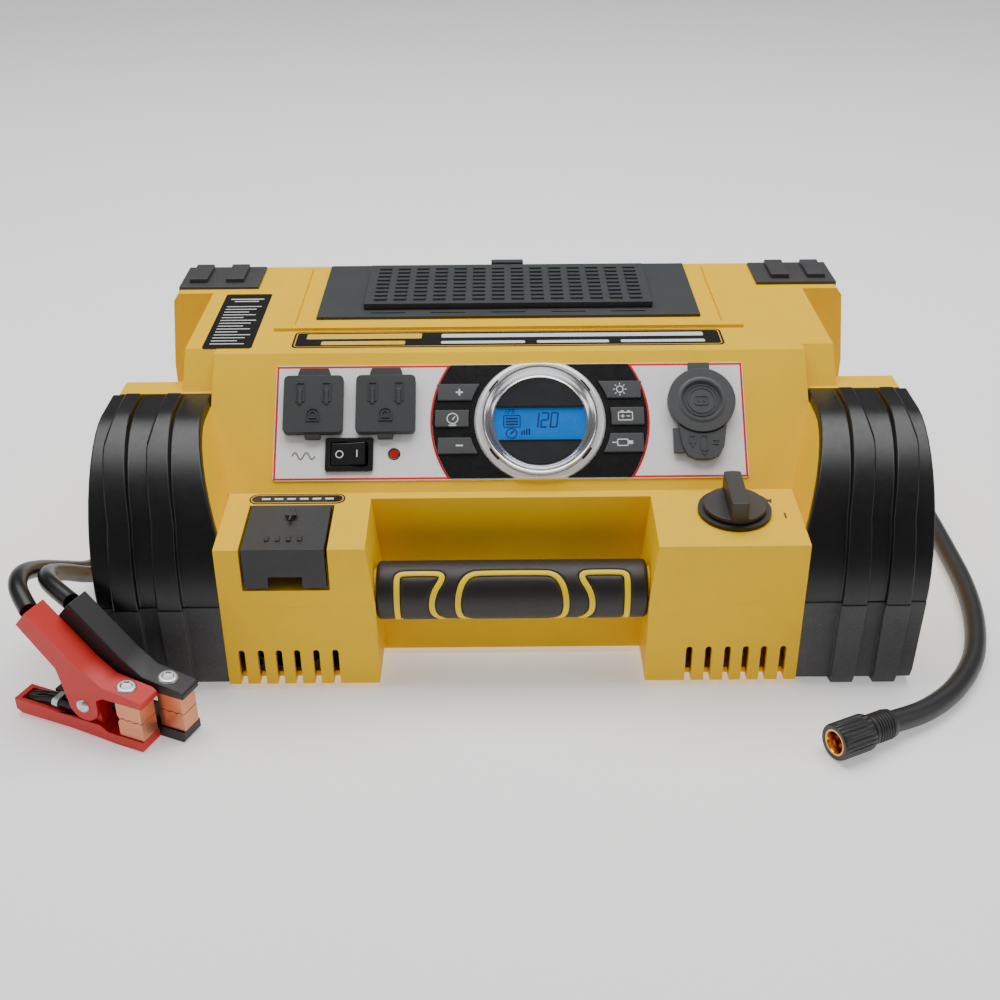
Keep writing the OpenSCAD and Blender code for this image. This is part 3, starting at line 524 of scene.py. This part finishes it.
LABEL_T = 0.8                                     # thickness of the control label
slope_out = -Vector(joints["plus_press"]["axis"])
SLOPE = plane_at(middle("control_label") - slope_out * LABEL_T / 2 * MM, slope_out)
LEDGE = plane_at(Vector(joints["knob_turn"]["pos_m"]), Vector(joints["knob_turn"]["axis"]))
TOP_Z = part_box("top_plate")[0].z / MM             # the flat top of the housing
TOP = Matrix.Translation(drawn(0, 0, TOP_Z))      # the drawing's x and y on the flat top


def on(place, x=0.0, y=0.0, z=0.0):
    """The plane `place`, moved by millimetres along its own axes."""
    return place @ Matrix.Translation(Vector((x, y, z)) * MM)


# ---- control label -------------------------------------------------------------------------------

DIAL_X = 14.5                                     # centre of the display, along the pack
ZONE_R = 52.7                                     # edge of the black zone round it
EDGE_X, EDGE_Y = 113.2, 28.7                      # red border of the label
PRINT_T = 0.06                                    # thickness of print
BORDER_W = 1.0                                    # width of the red border


def label_borders():
    """The two red outlines, left and right, each closed by an arc round the display."""
    reach = math.degrees(math.asin(EDGE_Y / ZONE_R))
    left = circle(ZONE_R, DIAL_X, 0, 25, 180 + reach, 180 - reach)
    right = circle(ZONE_R, DIAL_X, 0, 25, reach, -reach)
    return [[(-EDGE_X, -EDGE_Y), *left, (-EDGE_X, EDGE_Y)],
            [(EDGE_X, EDGE_Y), *right, (EDGE_X, -EDGE_Y)]]


bands("label_border", label_borders(), BORDER_W, SLOPE, LABEL_T, LABEL_T + PRINT_T, LABEL_RED, "root")
wave = [(-105 + 11 * k / 24, -17 + 1.7 * math.sin(4 * math.pi * k / 24)) for k in range(25)]
bands("inverter_mark", [wave], 0.7, SLOPE, LABEL_T, LABEL_T + PRINT_T, PRINT_GREY, "root", closed=False)

LED_RIM = [(2.15, LABEL_T), (3.1, LABEL_T), (3.0, 1.05), (2.6, 1.2), (2.15, 1.05), (2.15, LABEL_T)]
turned("led_rim", LED_RIM, on(SLOPE, -55.9, -16.3), LENS_BLACK, "root", sides=48)

# ---- display -------------------------------------------------------------------------------------

DIAL = on(SLOPE, DIAL_X)
LCD_TOP, LCD_LOW = 6.8, -9.8                      # the blue strip, up and down from the centre
LENS_R = 22.1                                     # edge of the display's window
RING_CUT = 29.4                                   # where the ring meets the label's edges
LCD_FACE = 0.41                                   # just above the display's own solid


def clipped_ring(name, profile, mat):
    """A ring round the display, cut straight where it meets the label's upper and lower edges."""
    ring = turned(name, profile, DIAL, mat, "root", sides=128)
    inward = DIAL.inverted()
    for vertex in ring.data.vertices:
        local = inward @ vertex.co
        local.y = max(-RING_CUT * MM, min(RING_CUT * MM, local.y))
        vertex.co = DIAL @ local
    return ring


clipped_ring("display_ring_outer",
             [(28.05, 0.5), (31.4, 0.5), (31.4, 1.6), (30.9, 2.3), (29.6, 2.75), (28.4, 2.8),
              (28.05, 2.6), (28.05, 0.5)], RING_WHITE)
inner_ring = clipped_ring("display_ring_inner",
                          [(22.2, -1.5), (28, -1.5), (28, 3.2), (27.7, 4), (27.1, 4.4), (26.5, 4.2),
                           (26.1, 3.6), (25.4, 3.3), (24.9, 2.6), (23.2, 1.4), (22.6, 1.5), (22.2, 1),
                           (22.2, -1.5)], CHROME)
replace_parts(inner_ring, "lcd_bezel")
notches = []
for turn in (38, 142, 218, 322):
    notches.append(circle(28.9, 0, 0, 8, turn - 7, turn + 7)
                   + circle(27.9, 0, 0, 8, turn + 7, turn - 7))
plates("display_ring_slots", notches, DIAL, 2.5, 2.95, LENS_BLACK, "root")


def chord(level, upper):
    """The part of the display above or below a level."""
    angle = math.degrees(math.asin(level / LENS_R))
    if upper:
        return circle(LENS_R, 0, 0, 33, angle, 180 - angle)
    return circle(LENS_R, 0, 0, 33, 180 - angle, 360 + angle)


MASK_TOP = 1.3                                    # top of the black parts of the window
plates("display_masks", [chord(LCD_TOP, True), chord(LCD_LOW, False)], DIAL, LCD_FACE, MASK_TOP,
       LENS_BLACK, "root")
plates("display_mask_rims", [box_outline(-20.9, LCD_TOP, 20.9, LCD_TOP + 0.7),
                             box_outline(-19.7, LCD_LOW - 0.7, 19.7, LCD_LOW)],
       DIAL, MASK_TOP, 1.5, SWITCH_BLACK, "root")

# The lit bars of each seven-segment digit
SEGMENTS = {"0": "abcdef", "1": "bc", "2": "abged", "6": "afgedc"}
LEAN = 0.12                                       # slant of the digits


def digit(char, x, y, w, h, bar):
    """Outlines of one seven-segment digit with its lower left corner at (x, y)."""
    mid, gap = h / 2, bar * 0.12
    long_y, long_x = (h - 2 * gap - bar) / 2, w - bar - gap
    spans = {
        "a": (bar * 0.6, h - bar, long_x, h), "g": (bar * 0.6, mid - bar / 2, long_x, mid + bar / 2),
        "d": (bar * 0.6, 0, long_x, bar), "f": (0, mid + gap, bar, mid + gap + long_y),
        "e": (0, bar * 0.4, bar, mid - gap), "b": (w - bar, mid + gap, w, mid + gap + long_y),
        "c": (w - bar, bar * 0.4, w, mid - gap)}
    return [[(x + px + LEAN * py, y + py) for px, py in box_outline(*spans[name])]
            for name in SEGMENTS[char]]


def display_marks():
    """The large and small digits, the battery's lines, a row of bars and the gauge's needle."""
    marks = []
    for k, char in enumerate("120"):
        marks += digit(char, -4.6 + 4.6 * k, -3.4, 3.7, 7.9, 0.62)
    for k, char in enumerate("126"):
        marks += digit(char, -18 + 2.1 * k, 3.9, 1.5, 2.3, 0.3)
    marks += [box_outline(-16.6, -2.0 + 1.5 * k, -10.6, -1.2 + 1.5 * k) for k in range(3)]
    marks += [box_outline(-9.2, -6.9, -8.5, -5.2), box_outline(-8.0, -6.9, -7.3, -4.6),
              box_outline(-6.8, -6.9, -6.1, -4.0), box_outline(-5.6, -6.9, -4.9, -3.9)]
    marks.append([(-14.6, -6.6), (-13.2, -6.1), (-12.2, -4.3), (-14.1, -5.7)])
    return marks


plates("display_marks", display_marks(), DIAL, LCD_FACE, LCD_FACE + PRINT_T, LCD_NAVY, "root")
bands("display_outlines", [rounded(-17.6, -3.0, -9.6, 2.9, 0.5), circle(2.5, -13.8, -6.2)], 0.45, DIAL,
      LCD_FACE, LCD_FACE + PRINT_T, LCD_NAVY, "root")

# ---- button symbols ------------------------------------------------------------------------------

BUTTON_TOP = 2.6                                  # outer face of the buttons


def symbol_plates(button, outlines):
    """Filled shapes printed on a button, which move with it."""
    plates("symbol_" + button, outlines, SLOPE, BUTTON_TOP, BUTTON_TOP + PRINT_T, PRINT_WHITE,
           "key_" + button)


def symbol_bands(button, paths):
    """Closed lines printed on a button, which move with it."""
    bands("symbol_" + button + "_outline", paths, 0.5, SLOPE, BUTTON_TOP, BUTTON_TOP + PRINT_T,
          PRINT_WHITE, "key_" + button)


def cross(x, y, size, bar):
    """A plus sign."""
    a, b = size / 2, bar / 2
    return [(x + dx, y + dy) for dx, dy in ((-b, -a), (b, -a), (b, -b), (a, -b), (a, b), (b, b),
                                            (b, a), (-b, a), (-b, b), (-a, b), (-a, -b), (-b, -b))]


def rays(x, y, count):
    """Short rays round (x, y)."""
    corners = ((2.3, -0.22), (3.3, -0.22), (3.3, 0.22), (2.3, 0.22))
    return [[(x + math.cos(a) * r - math.sin(a) * w, y + math.sin(a) * r + math.cos(a) * w)
             for r, w in corners]
            for a in (2 * math.pi * k / count for k in range(count))]


symbol_plates("plus", [cross(-24.5, 14.4, 3.4, 0.8)])
symbol_plates("minus", [box_outline(-26.2, -13.3, -22.8, -12.5)])
symbol_bands("compressor", [circle(2.6, -27.8, 0.9)])
symbol_plates("compressor", [[(-28.2, 0.3), (-27.6, 0.1), (-26.3, 2.1), (-26.6, 2.3)],
                             box_outline(-29.6, -2.9, -26, -2.3)])
symbol_bands("light", [circle(1.6, 53.5, 15.3)])
symbol_plates("light", rays(53.5, 15.3, 8))
symbol_bands("battery", [rounded(52.4, -0.6, 59.2, 3.4, 0.4)])
symbol_plates("battery", [cross(54.5, 1.4, 1.8, 0.45), box_outline(56.3, 1.2, 58.1, 1.65),
                          box_outline(53.5, 3.6, 55, 4.3), box_outline(56.6, 3.6, 58.1, 4.3)])
symbol_bands("usb", [rounded(51.6, -13.6, 56.6, -10.4, 0.4)])
symbol_plates("usb", [box_outline(56.9, -12.9, 59, -11.1), box_outline(49, -12.25, 51.3, -11.75)])

# ---- outlet covers, rocker, cap and flap ---------------------------------------------------------

COVER_TOP = 5.3                                   # outer face of the outlet covers
for side, x in (("left", -95.1), ("right", -60.1)):
    body = side + "_outlet_cover"
    blades = [rounded(x + s - 2, 9.4, x + s + 2, 18.8, 0.4) for s in (-6.4, 6.4)]
    bands("blade_marks_" + side, blades, 0.5, SLOPE, COVER_TOP - 0.1, COVER_TOP + 0.45,
          COVER_DARK, body)
    arch = [(x - 3.1, -0.6), (x + 3.1, -0.6)] + circle(3.1, x, 2.6, 13, 0, 180)
    inner = [(x - 1.7, 0.8), (x + 1.7, 0.8)] + circle(1.7, x, 2.4, 11, 0, 180)
    bands("ground_mark_" + side, [arch, inner], 0.5, SLOPE, COVER_TOP - 0.1, COVER_TOP + 0.5,
          COVER_DARK, body)

# The rocker rests tilted by 8 degrees, and each half of its face slopes by 5.5 more
ROCKER = on(SLOPE, -77.4, -16.7) @ Matrix.Rotation(math.radians(-8), 4, "Y")
FACE_TILT = math.radians(5.5)
rocker_left = on(ROCKER, -4.3, 0, 2.86) @ Matrix.Rotation(FACE_TILT, 4, "Y")
rocker_right = on(ROCKER, 4.3, 0, 2.86) @ Matrix.Rotation(-FACE_TILT, 4, "Y")
INK_LOW, INK_HIGH = -0.05, 0.06                   # bottom and top of the rocker's print
bands("rocker_ring", [circle(1.7, 0, 0, 32)], 0.5, rocker_left, INK_LOW, INK_HIGH, PRINT_WHITE, "rocker")
plates("rocker_bar", [box_outline(-0.3, -1.8, 0.3, 1.8)], rocker_right, INK_LOW, INK_HIGH, PRINT_WHITE,
       "rocker")

CAP = on(SLOPE, 92.6, 8.3)
CAP_SUNK = 4.7                                    # just inside the cap's sunk middle
bands("cap_mark", [circle(6.4), circle(7.9), rounded(-3.2, -2.2, 3.2, 2.2, 1.1)], 0.5, CAP,
      CAP_SUNK, 5.15, COVER_GREY, "socket_cap")
plates("cap_mark_pins", [circle(0.6, -1.3, 0, 16), circle(0.6, 1.3, 0, 16)], CAP, CAP_SUNK, 5.2,
       COVER_GREY, "socket_cap")
turned("cap_rim", [(9.55, 4.9), (9.55, 5.9), (10, 6.35), (10.8, 6.4), (11.3, 6.2), (12, 5.9), (12, 5.2),
                   (9.55, 4.9)], CAP, COVER_GREY, "socket_cap", sides=96)

FLAP_TOP = 5.1                                    # outer face of the USB cover
FLAP_MARK = (FLAP_TOP - 0.05, FLAP_TOP + 0.35)    # bottom and top of its raised marks
bands("flap_mark", [rounded(91, -17.4, 94.4, -9.6, 1.6), rounded(85.8, -13.4, 88.6, -9.8, 0.4)],
      0.45, SLOPE, *FLAP_MARK, COVER_GREY, "usb_flap")
plates("flap_mark_arrow", [[(91.4, -18.2), (92.7, -19.7), (94, -18.2)],
                           box_outline(86.6, -15.4, 87.8, -13.7),
                           box_outline(96.9, -12.4, 100.1, -11.9),
                           box_outline(96.9, -14.2, 99.7, -13.7)],
       SLOPE, *FLAP_MARK, COVER_GREY, "usb_flap")

# ---- ledge marks and top labels ------------------------------------------------------------------

KNOB = (103.8, 28.2)                              # the knob's axis on the ledge, in the drawing
ARC_R = 19.6                                      # the arrow round the knob


def ledge_xy(outline):
    """Moves the drawing's x and y to the ledge's plane, whose origin is the knob's axis."""
    return [(x - KNOB[0], y - KNOB[1]) for x, y in outline]


bands("knob_arc", [circle(ARC_R, 0, 0, 17, 62, 28)], 0.7, LEDGE, 0, PRINT_T, PRINT_DARK, "root",
      closed=False)
tip = (ARC_R * math.cos(math.radians(20)), ARC_R * math.sin(math.radians(20)))
plates("knob_marks", [[tip, (15.9, 9.6), (19.2, 10.6)], box_outline(22.6, -6.2, 23.5, -1.4)], LEDGE,
       0, PRINT_T, PRINT_DARK, "root")
bands("knob_off_mark", [circle(2, -3.4, 19.2, 32)], 0.6, LEDGE, 0, PRINT_T, PRINT_DARK, "root")

PILL_T, PILL_INK = 0.1, 0.15                      # top of the small label and of its print
plates("charger_label", [ledge_xy(rounded(-124, 38, -78.5, 46.6, 4))], LEDGE, 0, PILL_T, LABEL_BLACK,
       "root")
bands("charger_label_line", [ledge_xy(rounded(-123, 39, -79.5, 45.6, 3.2))], 0.4, LEDGE, PILL_T,
      PILL_INK, PRINT_YELLOW, "root")
plates("charger_label_mark", [ledge_xy(box_outline(-118 + 6 * k, 41.6, -114 + 6 * k, 43))
                              for k in range(6)], LEDGE, PILL_T, PILL_INK, PRINT_WHITE, "root")
plug_icon = [box_outline(-104.6, 24.2, -99.4, 28.2), box_outline(-103.6, 28.2, -102.6, 30.6),
             box_outline(-101.4, 28.2, -100.4, 30.6), box_outline(-102.5, 20.4, -101.5, 24.2)]
ICON_LOW, ICON_TOP = 2.0, 2.75                    # bottom and top of the raised plug
plates("charger_cover_icon", [ledge_xy(part) for part in plug_icon], LEDGE, ICON_LOW, ICON_TOP,
       CHARGER_BLACK, "charger_flap")

FILM_T, FILM_INK = 0.12, 0.18                     # top of the two top labels and of their print
STRIP = (-108.5, 105.6, 107.5, 126.2)
plates("top_label", [rounded(*STRIP, 3)], TOP, 0, FILM_T, LABEL_BLACK, "root")
strip_line = rounded(STRIP[0] + 1.3, STRIP[1] + 1.3, STRIP[2] - 1.3, STRIP[3] - 1.3, 2.2)
bands("top_label_line", [strip_line], 0.5, TOP, FILM_T, FILM_INK, PRINT_YELLOW, "root")
plates("top_label_blocks", [rounded(-102, 116.6, -44, 123, 0.8), rounded(-94, 109, -52, 113.6, 0.8)],
       TOP, FILM_T, FILM_INK, PRINT_YELLOW, "root")
small_bars = [rounded(a, 109.6, b, 112.8, 0.8) for a, b in ((-34, 8), (14, 50), (56, 98))]
plates("top_label_bars", [rounded(-34, 117.4, 98, 122, 0.8)] + small_bars, TOP, FILM_T, FILM_INK,
       PRINT_WHITE, "root")

NOTE = (-153, 105.8, -128.2, 181)
plates("side_label", [rounded(*NOTE, 1.5)], TOP, 0, FILM_T, LABEL_BLACK, "root")
note_lines = [rounded(-149.5, 172.6, -131.6, 173.8, 0.3), rounded(-147, 169.4, -134, 170.6, 0.3)]
for k in range(14):                               # ragged lines, as of small text
    y = 162 - 3.9 * k
    short = (0, 2.2, 5.5, 1.4, 7.2)[k % 5]
    note_lines.append(rounded(-150, y, -131.4 - short, y + 0.9, 0.3))
plates("side_label_lines", note_lines, TOP, FILM_T, 0.17, PRINT_WHITE, "root")

# ---- carry grip ----------------------------------------------------------------------------------

grip_low, grip_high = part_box("handle_grip")
GRIP_R = (grip_high.z - grip_low.z) / 2 / MM
GRIP_X = grip_high.x / MM
GRIP_AXIS = (grip_low + grip_high) / 2


def half_loops():
    """Upper halves of the grip's yellow outlines: x in millimetres, degrees above the parting line."""
    middle_loop = [(-25, 0), (-24.7, 18), (-23.6, 38), (-21.4, 54), (-18.6, 63), (-15, 66), (15, 66),
                   (18.6, 63), (21.4, 54), (23.6, 38), (24.7, 18), (25, 0)]
    left_loop = [(-53, 0), (-53, 30), (-53, 54), (-52.2, 62), (-50, 66), (-36, 66), (-33, 64),
                 (-32, 57), (-33, 46), (-35.2, 32), (-36.6, 16), (-37, 0)]
    return [middle_loop, left_loop, [(-x, a) for x, a in reversed(left_loop)]]


def full_loops():
    """Each outline as a smooth closed line of (x, arc length) in millimetres on the grip's surface."""
    loops = []
    for half in half_loops():
        loop = half + [(x, -a) for x, a in reversed(half[1:-1])]
        flat = [(x, math.radians(a) * GRIP_R) for x, a in loop]
        for _ in range(3):
            cut = []
            for k, a in enumerate(flat):
                b = flat[(k + 1) % len(flat)]
                cut += [(0.75 * a[0] + 0.25 * b[0], 0.75 * a[1] + 0.25 * b[1]),
                        (0.25 * a[0] + 0.75 * b[0], 0.25 * a[1] + 0.75 * b[1])]
            flat = cut
        loops.append(flat)
    return loops


def grip_point(x, arc, r):
    """A point on the grip: arc is measured up from its front, round its axis."""
    a = arc / GRIP_R
    return Vector((x * MM, GRIP_AXIS.y - r * MM * math.cos(a), GRIP_AXIS.z + r * MM * math.sin(a)))


GROOVE_HALF, GROOVE_EDGE, GROOVE_DEPTH = 2.1, 0.7, 0.75
PAD_STEP, PAD_EDGE, PAD_RISE = 1.4, 2.5, 0.35     # the raised rubber inside an outline
END_LENGTH, END_DROP = 2.2, 1.6                   # the sleeve's round ends
INLAY_HALF, INLAY_SINK = 1.35, 0.15


def grip_sleeve(loops):
    """The rubber sleeve: round ends, and a groove under each yellow outline."""
    xs = np.linspace(-GRIP_X, GRIP_X, 261)
    around = 168
    arcs = np.array([2 * math.pi * GRIP_R * (k / around - 0.5) for k in range(around)])
    near = np.full((len(xs), around), 1e9)
    inside = np.zeros((len(xs), around), bool)
    for loop in loops:
        line = np.array(loop)
        ahead = np.roll(line, -1, 0)
        for (ax, ay), (bx, by) in zip(line, ahead):
            px, py = xs[:, None] - ax, arcs[None, :] - ay
            dx, dy = bx - ax, by - ay
            t = np.clip((px * dx + py * dy) / max(dx * dx + dy * dy, 1e-12), 0, 1)
            near = np.minimum(near, np.hypot(px - t * dx, py - t * dy))
            crosses = (ay > arcs[None, :]) != (by > arcs[None, :])
            with np.errstate(divide="ignore", invalid="ignore"):
                at = ax + (arcs[None, :] - ay) * dx / (by - ay if by != ay else 1e-12)
            inside ^= crosses & (xs[:, None] < at)
    groove = np.clip((GROOVE_HALF - near) / GROOVE_EDGE, 0, 1)
    raised = np.where(inside, np.clip((near - PAD_STEP) / PAD_EDGE, 0, 1), 0)
    end = np.clip((GRIP_X - np.abs(xs)) / END_LENGTH, 0, 1)[:, None]
    radius = (GRIP_R - PAD_RISE + PAD_RISE * raised - GROOVE_DEPTH * groove
              - END_DROP * (1 - np.sqrt(1 - (1 - end) ** 2)))
    points, faces = [], []
    for i, x in enumerate(xs):
        points += [grip_point(x, arcs[k], radius[i, k]) for k in range(around)]
    for i in range(len(xs) - 1):
        faces += [(i * around + k, i * around + (k + 1) % around, (i + 1) * around + (k + 1) % around,
                   (i + 1) * around + k) for k in range(around)]
    faces += [tuple(range(around)), tuple((len(xs) - 1) * around + k for k in reversed(range(around)))]
    return piece("grip_sleeve", points, faces, GRIP_RUBBER, "root", smooth=True)


def inlay(name, loop):
    """A yellow strip that lies in a groove of the grip, with a rounded face."""
    section = [(-1, -0.9), (-1, -0.25), (-0.7, -0.05), (0, 0.0), (0.7, -0.05), (1, -0.25), (1, -0.9)]
    points, faces = [], []
    count, rim = len(loop), len(section)
    for k, (x, arc) in enumerate(loop):
        ahead, behind = loop[(k + 1) % count], loop[k - 1]
        side = Vector((-(ahead[1] - behind[1]), ahead[0] - behind[0])).normalized()
        points += [grip_point(x + side.x * w * INLAY_HALF, arc + side.y * w * INLAY_HALF,
                              GRIP_R - INLAY_SINK + depth) for w, depth in section]
    for k in range(count):
        a, b = k * rim, (k + 1) % count * rim
        faces += [(a + j, a + (j + 1) % rim, b + (j + 1) % rim, b + j) for j in range(rim)]
    return piece(name, points, faces, GRIP_INLAY, "root", smooth=True)


grip_loops = full_loops()
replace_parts(grip_sleeve(grip_loops), "handle_grip")
for name, loop in zip(("grip_inlay_middle", "grip_inlay_left", "grip_inlay_right"), grip_loops):
    inlay(name, loop)

# ---- clamps --------------------------------------------------------------------------------------

# Both clamps lie turned by this, about the floor point below their pivot
CLAMP_TURN = Matrix.Rotation(math.radians(-24), 4, "Z")
RIVET = [(0, 0.15), (2.2, 0.2), (2.5, 0.5), (2.9, 0.9), (3.6, 0.95), (4.3, 0.6), (4.7, 0.05),
         (4.7, -0.4), (0, -0.4)]
PIN_HEAD = [(0, 1.1), (1.2, 1.05), (1.5, 0.8), (2.4, 1.1), (3.1, 0.7), (3.4, 0.1), (3.4, -0.3),
            (0, -0.3)]


def clamp_details(color, foot):
    """Rivets and pivot heads on the upper arm, and the jumper wire in the lower arm's channel."""
    clamp = Matrix.Translation(drawn(*foot)) @ CLAMP_TURN
    place = on(clamp, 21.5, 0, 29.9) @ Matrix.Rotation(math.radians(7.5), 4, "Y")
    turned(color + "_clamp_rivet", RIVET, place, STEEL, "root", sides=48)
    for side, turn in (("front", 90), ("back", -90)):
        place = on(clamp, 0, -6 if turn > 0 else 6, 17) @ Matrix.Rotation(math.radians(turn), 4, "X")
        turned(f"{color}_pivot_head_{side}", PIN_HEAD, place, STEEL, "root", sides=40)
    data = bpy.data.curves.new(color + "_jumper_wire", "CURVE")
    data.dimensions = "3D"
    data.bevel_depth = 1.7 * MM
    data.bevel_resolution = 5
    data.use_fill_caps = True
    loop = [(-8.5, -1.9, 10.3), (-16, -1.9, 10.6), (-25, -1.9, 10.2), (-33, -1.8, 8.4), (-36, 0, 7.6),
            (-33, 1.8, 8.4), (-25, 1.9, 10.2), (-16, 1.9, 10.6), (-8.5, 1.9, 10.3)]
    spline = data.splines.new("BEZIER")
    spline.bezier_points.add(len(loop) - 1)
    for knot, point in zip(spline.bezier_points, loop):
        knot.co = clamp @ (Vector(point) * MM)
        knot.handle_left_type = knot.handle_right_type = "AUTO"
    data.materials.append(CABLE_BLACK)
    wire = bpy.data.objects.new(color + "_jumper_wire", data)
    bpy.context.scene.collection.objects.link(wire)
    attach(wire, color + "_jaw")
    place = (on(clamp, -19, 0, 10.4) @ Matrix.Rotation(math.radians(90), 4, "Y")
             @ Matrix.Rotation(math.radians(90), 4, "Z"))
    bands(color + "_wire_band", [rounded(-3.9, -2, 3.9, 2, 1.9)], 0.7, place, -1.6, 1.6, STEEL,
          color + "_jaw")


clamp_details("red", (-190.5, -28, 0))
clamp_details("black", (-173.5, -21.2, 0))

# ---- floor ---------------------------------------------------------------------------------------

FLOOR = 25                                        # from its middle to each side, in metres
floor_mesh = bpy.data.meshes.new("floor")
floor_mesh.from_pydata([(-FLOOR, -FLOOR, 0), (FLOOR, -FLOOR, 0), (FLOOR, FLOOR, 0), (-FLOOR, FLOOR, 0)],
                       [], [(0, 1, 2, 3)])
floor_mesh.materials.append(material("floor_white", (0.9, 0.9, 0.9, 1), 0.7, vary=0.01, grain=0.02,
                                     grain_scale=60, patch_scale=2, glow=0.45, shine=0.2))
floor = bpy.data.objects.new("floor", floor_mesh)
bpy.context.scene.collection.objects.link(floor)
